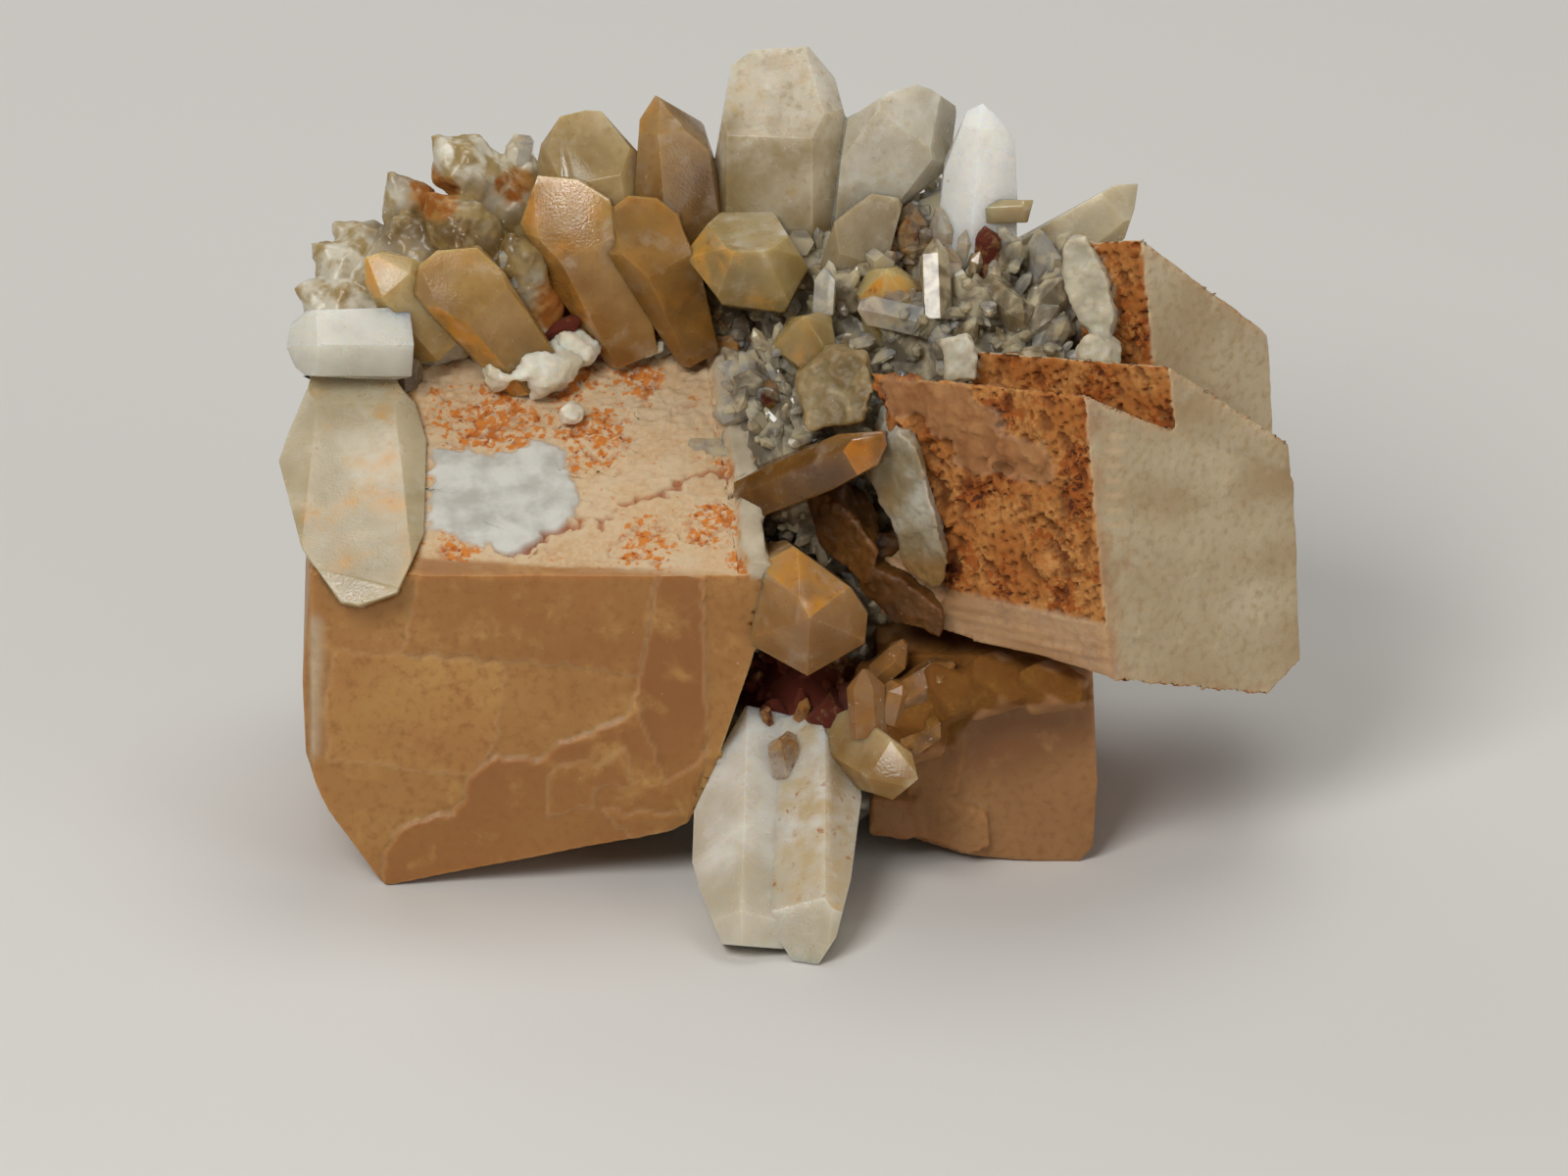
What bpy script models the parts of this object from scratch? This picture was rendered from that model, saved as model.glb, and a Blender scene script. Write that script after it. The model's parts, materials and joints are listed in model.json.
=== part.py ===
"""Calcite with quartz: a cabinet specimen of three calcite rhombs round a bed of quartz.

Every crystal is a convex block cut from a cube by its own faces, as a crystal is bounded
by its faces. Crystals that have grown into one another are joined into one solid. A crystal
that stands in the bed, or against a rhomb, keeps a hairline gap to it.

Places are measured in millimetres in the specimen's front view, looking 25 degrees down on
it: across to the right, up the view, and near, towards the viewer. turn_upright sets them
upright, with the specimen standing on the ground at z = 0.
"""

import math
import random

import bmesh
import bpy
from mathutils import Matrix, Vector

MM = 0.001
GAP = 0.3
BLOCK_REACH = 120.0

SIGHT_DIP = math.radians(25)
SIGHT_HEIGHT = 22.4
STAND = Vector((0.57, -0.133, 0.0))

QUARTZ_FACE_TILT = math.radians(38.2)
CRYSTAL_SIDES = 6
EVEN_TURN = math.radians(137.5)

GROUND = 0.15
DRUSE_SEED = 7
BACK_CRYSTALS = 4
REAR_CRYSTALS = 26
REAR_NEAR = -15.0


# Coordinates of the front view


def turn_upright(across, up, near):
    """The upright place, in millimetres, of a place in the front view."""
    return Vector(
        (
            across,
            up * math.sin(SIGHT_DIP) - near * math.cos(SIGHT_DIP),
            SIGHT_HEIGHT + up * math.cos(SIGHT_DIP) + near * math.sin(SIGHT_DIP),
        )
    )


TOWARDS_VIEWER = Vector((0, -math.cos(SIGHT_DIP), math.sin(SIGHT_DIP)))
UP_THE_VIEW = Vector((0, math.sin(SIGHT_DIP), math.cos(SIGHT_DIP)))


# Convex shapes, each a list of (point, outward normal)


def facing_out(point, normal, inside):
    normal = normal.normalized()
    if normal.dot(inside - point) > 0:
        normal = -normal
    return point, normal


def crystal(root, tip, width, roll=0.0, thick=1.0, tops=None, rim=(), stands=False):
    """A quartz point: six prism faces and six faces that slope to the tip.

    width is across the prism faces, and thick times that is the depth along the sight. tops
    moves single sloping faces out, in millimetres. rim is a chain of places, across and up,
    where the real crystal's outline cuts in closer than the ideal one. A crystal that stands
    on the ground is broken off level there.
    """
    tops = tops or {}
    root = turn_upright(*root)
    tip = turn_upright(*tip)
    axis = (tip - root).normalized()
    reference = TOWARDS_VIEWER if abs(axis.dot(TOWARDS_VIEWER)) < 0.8 else UP_THE_VIEW
    forward = (reference - axis * axis.dot(reference)).normalized()
    faces = [(root, -axis)]
    for i in range(CRYSTAL_SIDES):
        turn = Matrix.Rotation(math.radians(roll) + i * math.tau / CRYSTAL_SIDES, 3, axis)
        outward = turn @ forward
        facing = outward.dot(forward) ** 2
        squeeze = math.sqrt(thick * thick * facing + 1 - facing)
        faces.append((root + outward * (width / 2 * squeeze), outward))
        slope = outward * math.cos(QUARTZ_FACE_TILT) + axis * math.sin(QUARTZ_FACE_TILT)
        drop = width / 2 * (1 - squeeze) * math.cos(QUARTZ_FACE_TILT)
        faces.append((tip + slope * (tops.get(i, 0.0) - drop), slope))
    faces += rim_faces(rim, (root * 0.4 + tip * 0.6))
    if stands:
        faces.append((Vector((0.0, 0.0, GROUND)), Vector((0.0, 0.0, -1.0))))
    return faces


def rim_faces(rim, inside):
    """Faces seen edge on, one along each stretch of the chain."""
    faces = []
    for (across, up), (next_across, next_up) in zip(rim, rim[1:]):
        here = turn_upright(across, up, 0.0)
        along = turn_upright(next_across, next_up, 0.0) - here
        faces.append(facing_out(here, along.cross(TOWARDS_VIEWER), inside))
    return faces


def slab(outline, run, runs=None):
    """A flat convex outline run back by a vector, where single edges may run their own way."""
    runs = runs or {}
    corners = [turn_upright(*corner) for corner in outline]
    run = Vector(run)
    middle = sum(corners, Vector()) / len(corners)
    normal = Vector()
    for here, after in zip(corners, corners[1:] + corners[:1]):
        normal += (here - middle).cross(after - middle)
    inside = middle + run * 0.5
    faces = [facing_out(middle, normal, inside), facing_out(middle + run, normal, inside)]
    for i, here in enumerate(corners):
        after = corners[(i + 1) % len(corners)]
        along = Vector(runs.get(i, run))
        faces.append(facing_out((here + after) / 2, (after - here).cross(along), inside))
    return faces


def lump(centre, radii, seed, facets=14):
    """A rough convex lump: facets round an ellipsoid, a little out of true."""
    rng = random.Random(seed)
    centre = turn_upright(*centre)
    faces = []
    for i in range(facets):
        height = 1 - 2 * (i + 0.5) / facets
        turn = i * EVEN_TURN + rng.uniform(-0.35, 0.35)
        flat = math.sqrt(1 - height * height)
        normal = Vector((flat * math.cos(turn), flat * math.sin(turn), height))
        reach = math.sqrt(sum((n * r) ** 2 for n, r in zip(normal, radii)))
        faces.append((centre + normal * reach * rng.uniform(0.84, 1.0), normal))
    return faces


def grown(faces, by=GAP):
    return [(point + normal * by, normal) for point, normal in faces]


def cut_block(faces):
    """The convex block that lies inside every face, in metres."""
    middle = sum((point for point, _ in faces), Vector()) / len(faces)
    block = bmesh.new()
    bmesh.ops.create_cube(
        block, size=BLOCK_REACH * MM, matrix=Matrix.Translation((middle - STAND) * MM)
    )
    for point, normal in faces:
        cut = bmesh.ops.bisect_plane(
            block,
            geom=block.verts[:] + block.edges[:] + block.faces[:],
            dist=1e-7,
            plane_co=(point - STAND) * MM,
            plane_no=normal,
            clear_outer=True,
        )
        rim = [item for item in cut["geom_cut"] if isinstance(item, bmesh.types.BMEdge)]
        if rim:
            bmesh.ops.contextual_create(block, geom=rim)
    bmesh.ops.recalc_face_normals(block, faces=block.faces)
    return block


# Objects


def new_object(name, blocks):
    """One object that holds several blocks, which may run into one another."""
    joined = bmesh.new()
    for faces in blocks:
        block = cut_block(faces)
        piece = bpy.data.meshes.new(name)
        block.to_mesh(piece)
        block.free()
        joined.from_mesh(piece)
        bpy.data.meshes.remove(piece)
    mesh = bpy.data.meshes.new(name)
    joined.to_mesh(mesh)
    joined.free()
    obj = bpy.data.objects.new(name, mesh)
    bpy.context.collection.objects.link(obj)
    return obj


def box_of(obj):
    corners = [vertex.co for vertex in obj.data.vertices]
    low = Vector(min(corner[i] for corner in corners) for i in range(3))
    high = Vector(max(corner[i] for corner in corners) for i in range(3))
    return low, high


def boxes_meet(first, second):
    return all(first[0][i] <= second[1][i] and second[0][i] <= first[1][i] for i in range(3))


def apply_boolean(obj, other, operation):
    """Joins other to obj, or cuts it away, and leaves the plain mesh."""
    modifier = obj.modifiers.new(operation.title(), "BOOLEAN")
    modifier.operation = operation
    modifier.solver = "EXACT"
    modifier.use_self = True
    modifier.object = other
    graph = bpy.context.evaluated_depsgraph_get()
    result = bpy.data.meshes.new_from_object(obj.evaluated_get(graph))
    obj.modifiers.clear()
    old = obj.data
    obj.data = result
    bpy.data.meshes.remove(old)
    bpy.data.objects.remove(other)


def keep_largest_body(obj):
    """Drops the chips that a cut has parted from the body."""
    body = bmesh.new()
    body.from_mesh(obj.data)
    bmesh.ops.remove_doubles(body, verts=body.verts, dist=1e-6)
    left = set(body.faces)
    islands = []
    while left:
        found = {left.pop()}
        front = list(found)
        while front:
            face = front.pop()
            for edge in face.edges:
                if len(edge.link_faces) != 2:
                    continue
                for other in edge.link_faces:
                    if other in left:
                        left.remove(other)
                        found.add(other)
                        front.append(other)
        islands.append(found)
    largest = max(islands, key=len)
    loose = [face for island in islands if island is not largest for face in island]
    bmesh.ops.delete(body, geom=loose, context="FACES")
    bmesh.ops.dissolve_limit(
        body, angle_limit=math.radians(0.5), verts=body.verts, edges=body.edges
    )
    bmesh.ops.triangulate(body, faces=body.faces)
    body.to_mesh(obj.data)
    body.free()


class Specimen:
    """The solids made so far, each with the blocks that later ones keep clear of."""

    def __init__(self):
        self.made = []

    def add(self, name, blocks, look, pits=()):
        obj = new_object(name, blocks[:1])
        if len(blocks) > 1:
            apply_boolean(obj, new_object("joined", blocks[1:]), "UNION")
        if pits:
            apply_boolean(obj, new_object("pits", pits), "DIFFERENCE")
        self.cut_clear(obj)
        keep_largest_body(obj)
        obj.data.materials.clear()
        obj.data.materials.append(stone(name, look))
        self.made.append((obj, blocks))

    def cut_clear(self, obj):
        """Cuts a socket for every earlier solid that this one runs into."""
        box = box_of(obj)
        near = []
        for other, blocks in self.made:
            if not boxes_meet(box, widened(box_of(other))):
                continue
            for faces in blocks:
                socket = new_object("socket", [grown(faces)])
                if boxes_meet(box, box_of(socket)):
                    near.append(grown(faces))
                bpy.data.objects.remove(socket)
        if near:
            apply_boolean(obj, new_object("sockets", near), "DIFFERENCE")


def widened(box):
    margin = Vector((GAP, GAP, GAP)) * MM * 2
    return box[0] - margin, box[1] + margin


# Materials


# Each look is a colour and a roughness
PEACH = ((0.62, 0.42, 0.28), 0.5)
WHITE = ((0.72, 0.69, 0.6), 0.7)
MILKY = ((0.6, 0.52, 0.4), 0.25)
SMOKY = ((0.42, 0.33, 0.22), 0.2)
CLEAR = ((0.4, 0.38, 0.3), 0.15)


def stone(name, look):
    colour, roughness = look
    material = bpy.data.materials.new(name)
    material.use_nodes = True
    shader = material.node_tree.nodes["Principled BSDF"]
    shader.inputs["Base Color"].default_value = (*colour, 1.0)
    shader.inputs["Roughness"].default_value = roughness
    shader.inputs["Metallic"].default_value = 0.0
    material.diffuse_color = (*colour, 1.0)
    return material


# Calcite


LEFT_TOP_RUN = (-3.0, 30.0, 11.0)
LEVEL_CRUST = (1.5, 1.2, 0.5)
UPRIGHT_CRUST = (1.3, 0.6, 1.2)


def left_front(across, height):
    """A place on the left rhomb's upright front face, 23 mm in front of the middle."""
    depth = -23.0
    up = (height - SIGHT_HEIGHT + depth * math.tan(SIGHT_DIP)) * math.cos(SIGHT_DIP)
    near = (up * math.sin(SIGHT_DIP) - depth) / math.cos(SIGHT_DIP)
    return across, up, near


def upright_place(across, depth, height):
    """A place in the front view from upright coordinates."""
    rise = height - SIGHT_HEIGHT
    up = depth * math.sin(SIGHT_DIP) + rise * math.cos(SIGHT_DIP)
    near = rise * math.sin(SIGHT_DIP) - depth * math.cos(SIGHT_DIP)
    return across, up, near


def scattered(corner, along, down, count, size, shape, seed):
    """Flat lumps scattered over a face, for its granular rust and for its pits."""
    rng = random.Random(seed)
    lumps = []
    for i in range(count):
        s = (i + rng.uniform(0.1, 0.9)) / count
        t = rng.uniform(0.08, 0.92)
        place = Vector(corner) + Vector(along) * s + Vector(down) * t
        radius = size * rng.uniform(0.7, 1.5)
        lumps.append(lump(tuple(place), tuple(radius * way for way in shape), seed * 100 + i, 10))
    return lumps


def left_rhomb():
    outline = [
        left_front(-48.1, 34.5),
        left_front(-48.9, 22.0),
        left_front(-48.6, 14.0),
        left_front(-46.4, 8.0),
        left_front(-40.9, 0.0),
        left_front(-11.5, 6.2),
        left_front(-9.5, 7.2),
        left_front(-6.8, 13.5),
        left_front(-3.2, 25.0),
        left_front(-1.9, 31.0),
        left_front(-1.8, 34.5),
    ]
    level = (0, 32, 0)
    lean = LEFT_TOP_RUN
    body = slab(outline, lean, {0: level, 1: level, 2: level, 3: level, 4: level, 5: level})
    body.append((Vector((-47.2, -23.0, 20.0)), Vector((-0.62, -0.785, 0.0))))
    body.append((Vector((-41.5, -23.0, 2.0)), Vector((-0.55, -0.75, -0.35)).normalized()))
    blocks = [body]
    steps = [
        (0.5, [(-37.5, 34.0), (-14.0, 34.3), (-14.0, 24.5), (-24.0, 24.8), (-37.5, 25.3)]),
        (0.9, [(-40.0, 1.0), (-39.8, 4.2), (-36.0, 7.4), (-29.5, 10.5), (-29.0, 2.8)]),
        (0.7, [(-30.0, 3.2), (-30.0, 10.6), (-28.0, 15.8), (-20.0, 16.8), (-19.0, 5.2)]),
        (0.8, [(-20.5, 5.0), (-20.3, 17.8), (-15.5, 21.4), (-7.0, 14.8), (-10.0, 7.2)]),
        (0.4, [(-13.8, 33.5), (-2.3, 33.5), (-3.6, 25.0), (-7.4, 13.8), (-13.8, 16.0)]),
    ]
    for proud, corners in steps:
        raised = [left_front(*corner) for corner in corners]
        plate = slab([(a, u, n + proud) for a, u, n in raised], (0, 3, 0))
        blocks.append(plate)
    rim = [
        upright_place(-1.6, -23.4, 35.6),
        upright_place(-4.8, 8.0, 47.6),
        upright_place(-8.2, 8.0, 47.6),
        upright_place(-4.6, -23.4, 35.6),
    ]
    blocks.append(slab(rim, (0.6, 2.0, -6.0)))
    blocks += scattered((-35.0, 21.0, 6.9), (27, 0, 0), (0, -18.0, 18.0), 18, 1.1, LEVEL_CRUST, 11)
    return blocks


def seen_on(face, across, up):
    """The place on a face that is seen at across and up."""
    point, normal = face
    start = turn_upright(across, up, 0.0)
    return start + TOWARDS_VIEWER * (normal.dot(point - start) / normal.dot(TOWARDS_VIEWER))


def right_rhomb():
    """Three growth plates in steps, from the front plate up to the rear one."""
    inside = turn_upright(36.0, 5.0, 10.0)
    level = Vector((0.0, 1.0, 0.0))
    fall = Vector((0.0, 1.0, -math.tan(SIGHT_DIP + math.radians(3))))

    def through(first, second, third):
        return facing_out(first, (second - first).cross(third - first), inside)

    def edge_face(first, second, run):
        return facing_out(first, (second - first).cross(run), inside)

    front_edge = turn_upright(30.3, 19.5, 40.0)
    front_edge_foot = turn_upright(32.5, -3.8, 29.1)
    left_edge = turn_upright(8.6, 21.8, 29.0)
    right_edge = turn_upright(51.6, 14.4, 20.5)
    rust = through(front_edge, front_edge_foot, left_edge)
    pale = through(front_edge, front_edge_foot, right_edge)
    left_edge_foot = seen_on(rust, 16.3, -0.2)
    right_edge_foot = seen_on(pale, 52.5, -7.3)
    band_foot = seen_on(pale, 32.5, -9.0) + TOWARDS_VIEWER * -1.0
    heel_left = seen_on(pale, 44.7, -10.6)
    heel_right = seen_on(pale, 50.2, -9.8)
    front_top_right = seen_on(pale, 39.9, 15.7)
    second_edge = seen_on(pale, 38.9, 22.4) + TOWARDS_VIEWER * -0.3
    second_left = seen_on((second_edge, rust[1]), 19.6, 24.0)
    third_edge = turn_upright(36.2, 35.3, 25.0)
    third_left = seen_on((third_edge, rust[1]), 31.1, 35.0)
    third_shoulder = seen_on((third_edge, pale[1]), 48.8, 26.2)
    third_right = seen_on((third_edge, pale[1]), 50.5, 18.0)

    band = through(front_edge_foot, left_edge_foot, band_foot)
    band_left_foot = seen_on(band, 10.0, -2.6)
    band_left = seen_on(band, 8.6, 6.0)
    underside = Vector((0.0, 1.0, 0.08))
    lip_top = front_edge_foot + Vector((0.0, 0.0, 2.0))
    foot = edge_face(band_foot, heel_left, underside)
    heel = edge_face(heel_right, right_edge_foot, level)
    right = edge_face(right_edge, right_edge_foot, Vector((-0.06, 1.0, 0.0)))
    left = edge_face(left_edge, left_edge_foot, Vector((0.3, 1.0, 0.0)))
    inward = -rust[1]

    front = [
        rust,
        pale,
        band,
        foot,
        heel,
        right,
        left,
        through(front_edge, left_edge, front_top_right),
        (front_edge + inward * 24.0, inward),
    ]
    lip = [
        rust,
        band,
        edge_face(band_left_foot, band_foot, underside),
        edge_face(band_left_foot, band_left, level),
        (band_foot, Vector((1.0, 0.0, 0.0))),
        (lip_top, Vector((0.0, 0.0, 1.0))),
        (front_edge + inward * 20.0, inward),
    ]
    second = [
        (second_edge, rust[1]),
        grown([pale], -0.25)[0],
        grown([foot], -0.5)[0],
        grown([heel], -0.3)[0],
        grown([right], -0.3)[0],
        edge_face(second_edge, second_left, fall),
        edge_face(second_edge, right_edge, fall),
        (second_left, Vector((-0.97, 0.2, 0.1)).normalized()),
        (front_edge - pale[1] * 26.0, -pale[1]),
    ]
    third = [
        (third_edge, rust[1]),
        (third_edge, pale[1]),
        edge_face(third_edge, third_left, fall),
        edge_face(third_edge, third_shoulder, fall),
        edge_face(third_shoulder, third_right, level),
        grown([right], -1.2)[0],
        (third_left, Vector((-0.98, 0.15, 0.1)).normalized()),
        grown([foot], -1.5)[0],
        (Vector((40.0, 21.0, 40.0)), Vector((0.1, 0.98, 0.17)).normalized()),
    ]
    blocks = [front, lip, second, third]
    across = (18.5, -2.0, 8.4)
    down = (4.0, -18.0, -7.3)
    blocks += scattered((11.5, 19.6, 29.6), across, down, 15, 1.1, UPRIGHT_CRUST, 31)
    strip = (15.0, -1.4, 7.2)
    blocks += scattered((21.0, 23.0, 26.6), strip, (0, -1.5, 0), 5, 0.8, UPRIGHT_CRUST, 37)
    down = (5.0, -16.0, -6.4)
    pits = scattered((12.5, 18.6, 30.4), (16, -2.0, 7.6), down, 6, 1.3, UPRIGHT_CRUST, 41)
    return blocks, pits


def lower_rhomb():
    base = [
        upright_place(9.2, -18.4, 4.3),
        upright_place(14.6, -18.2, 2.2),
        upright_place(20.5, -18.0, 0.0),
        upright_place(30.2, -18.0, 0.0),
        upright_place(31.5, -18.1, 1.6),
        upright_place(31.9, -18.4, 9.0),
        upright_place(31.3, -18.6, 23.5),
        upright_place(13.0, -18.6, 23.5),
        upright_place(9.6, -18.6, 23.5),
    ]
    body = slab(base, (-1.0, 32.0, 1.0), {2: (0, 32, 0), 6: (0, 32, -2)})
    body.append((Vector((24.0, -18.2, 0.4)), Vector((-0.1, -0.55, -0.83)).normalized()))
    left_ledge = [
        upright_place(8.6, -19.6, 3.8),
        upright_place(12.4, -19.8, 3.2),
        upright_place(14.2, -19.8, 3.8),
        upright_place(13.4, -19.4, 7.4),
        upright_place(8.9, -19.2, 7.8),
    ]
    right_ledge = [
        upright_place(13.4, -19.6, 3.6),
        upright_place(18.8, -19.6, 1.6),
        upright_place(21.0, -19.4, 2.4),
        upright_place(20.6, -19.2, 6.0),
        upright_place(13.8, -19.0, 8.6),
    ]
    step = [
        upright_place(12.5, -18.9, 8.0),
        upright_place(17.6, -18.9, 8.0),
        upright_place(18.6, -18.9, 14.0),
        upright_place(16.0, -18.9, 18.0),
        upright_place(12.5, -18.9, 17.0),
    ]
    blocks = [body, slab(left_ledge, (0, 5, 0)), slab(right_ledge, (0, 5, 0))]
    blocks.append(slab(step, (0, 4, 0)))
    blocks.append(lump((12.6, -13.5, 17.0), (3.6, 3.5, 4.5), 51, 12))
    blocks.append(lump((16.5, -10.5, 18.5), (3.8, 3.2, 3.2), 52, 12))
    blocks.append(lump((21.5, -9.8, 18.5), (4.5, 3.0, 2.6), 53, 12))
    blocks.append(lump((27.0, -10.0, 18.8), (4.0, 2.8, 2.2), 54, 12))
    return blocks


def lobe():
    upper = [
        (11.4, 15.8, 31.5), (13.6, 14.0, 32.0), (15.4, 6.0, 29.5), (11.2, 6.0, 25.0),
        (8.6, 10.5, 26.0),
    ]
    lower = [
        (11.0, 8.0, 27.0), (15.2, 8.0, 30.0), (16.6, 2.5, 27.0), (16.0, -0.5, 25.2),
        (12.4, 1.6, 23.0),
    ]
    return [slab(upper, (-0.5, 7, 1.5)), slab(lower, (-0.5, 6, 1))]


def apron():
    upper = [
        (2.4, 9.8, 19.5), (6.0, 8.4, 22.5), (9.6, 3.4, 24.0), (8.2, 0.2, 21.0),
        (3.4, 4.4, 19.0),
    ]
    lower = [
        (8.0, 4.2, 23.0), (12.0, 0.6, 23.6), (16.2, -0.8, 24.4), (16.0, -5.0, 21.4),
        (11.4, -3.6, 19.5), (7.6, -0.4, 20.0),
    ]
    return [slab(upper, (0, 8, 1)), slab(lower, (0, 8, 1))]


def bar():
    outline = [
        (28.2, 34.4, 23.2),
        (29.0, 35.5, 23.6),
        (30.6, 35.6, 23.9),
        (33.0, 31.0, 23.9),
        (33.4, 27.2, 23.0),
        (33.0, 25.4, 22.6),
        (31.4, 25.4, 22.2),
        (29.8, 27.0, 22.2),
        (28.4, 30.6, 22.4),
    ]
    return [slab(outline, (0.4, 4.4, -1.8)), lump((31.8, 24.0, 22.5), (2.3, 2.6, 1.7), 61, 12)]


def small_block():
    outline = [
        (15.9, 25.2, 26.2), (18.6, 25.8, 26.4), (19.7, 23.2, 26.4), (19.4, 21.2, 26.0),
        (16.2, 21.0, 25.6),
    ]
    return [slab(outline, (0.2, 4.0, -1.7))]


def cream_chunk():
    outline = [
        (1.2, 21.4, 25.0),
        (4.8, 24.4, 26.0),
        (8.4, 23.6, 27.0),
        (8.9, 20.0, 28.6),
        (8.0, 16.8, 28.2),
        (2.4, 16.0, 26.6),
    ]
    return [slab(outline, (0.0, 7.6, -3.0))]


CHIPS = {
    "chip_cream": [((-27.8, 22.6, 8.6), (3.4, 3.2, 1.9)), ((-24.2, 22.4, 8.6), (3.2, 3.0, 2.3))],
    "chip_white": [((-21.2, 24.2, 7.2), (2.4, 2.2, 1.9)), ((-19.9, 25.2, 6.4), (1.3, 1.6, 1.0))],
    "chip_small": [((-13.8, 24.7, 6.4), (1.5, 1.6, 1.0))],
    "chip_flake": [((-21.6, 17.8, 11.6), (1.5, 1.0, 0.9))],
}


# Quartz


def left_plate():
    """The broad flat point: an outline laid on the rhomb, with bevelled long edges."""
    outline = [
        (-52.4, 9.7),
        (-51.8, 12.4),
        (-50.4, 15.8),
        (-48.6, 21.2),
        (-40.0, 21.4),
        (-37.6, 18.8),
        (-36.4, 15.0),
        (-36.6, 5.0),
        (-37.9, 2.3),
        (-39.0, -0.4),
        (-43.0, -1.8),
        (-46.2, -1.2),
        (-48.1, 1.1),
        (-48.9, 4.0),
        (-51.4, 7.4),
    ]
    face = [(a, u, 30.2 - 0.9 * (u + 1.8)) for a, u in outline]
    body = slab(face, TOWARDS_VIEWER * -7.0)
    for across, up, lean, tilt in [
        (-48.6, 10.0, -0.42, 0.05),
        (-38.6, 10.0, 0.42, 0.05),
        (-44.0, 1.2, -0.1, -0.42),
        (-44.0, 19.0, 0.0, 0.4),
    ]:
        place = turn_upright(across, up, 30.2 - 0.9 * (up + 1.8))
        face_normal = body[0][1]
        bevel = face_normal + Vector((lean, 0, 0)) + UP_THE_VIEW * tilt
        body.append((place, bevel.normalized()))
    return [body]


def west_cluster():
    """Pale points grown together at the far left."""
    points = [
        ((-38, 25, 1), (-50.2, 30.6, 4), 7.0, 10),
        ((-38, 28, 0), (-48.4, 35.2, 3), 5.6, 0),
        ((-36, 29, -1), (-46.0, 37.2, 1), 5.4, 20),
        ((-33, 30, 0), (-40.2, 42.4, 3), 6.0, 15),
        ((-26, 37, 1), (-36.2, 46.2, 5), 6.0, 0),
        ((-29, 32, 4), (-36.6, 40.4, 8), 6.6, 30),
        ((-25.5, 38, 2), (-27.5, 46.6, 3), 2.4, 0),
        ((-24, 27, 5), (-28.0, 36.2, 12), 4.6, 10),
        ((-31, 26, 4), (-33.5, 35.5, 10), 4.8, 25),
        ((-42, 26, -6), (-47.5, 33.0, -10), 6.0, 5),
    ]
    blocks = [lump((-33.5, 29.5, -1.0), (13.0, 9.0, 8.5), 71, 18)]
    for root, tip, width, roll in points:
        blocks.append(crystal(root, tip, width, roll=roll))
    return blocks


def pocket_cluster():
    """Small points grown together beside the red-brown pocket."""
    points = [
        ((8.0, -14.0, 10), (9.6, -7.6, 19.5), 3.8, 0),
        ((8.0, -13.0, 10), (7.0, -10.2, 20.0), 3.4, 20),
        ((10.0, -14.0, 9), (11.8, -10.4, 18.5), 3.6, 10),
        ((7.0, -15.0, 8), (8.4, -14.4, 19.0), 3.4, 15),
    ]
    return [crystal(root, tip, width, roll=roll) for root, tip, width, roll in points]


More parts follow.
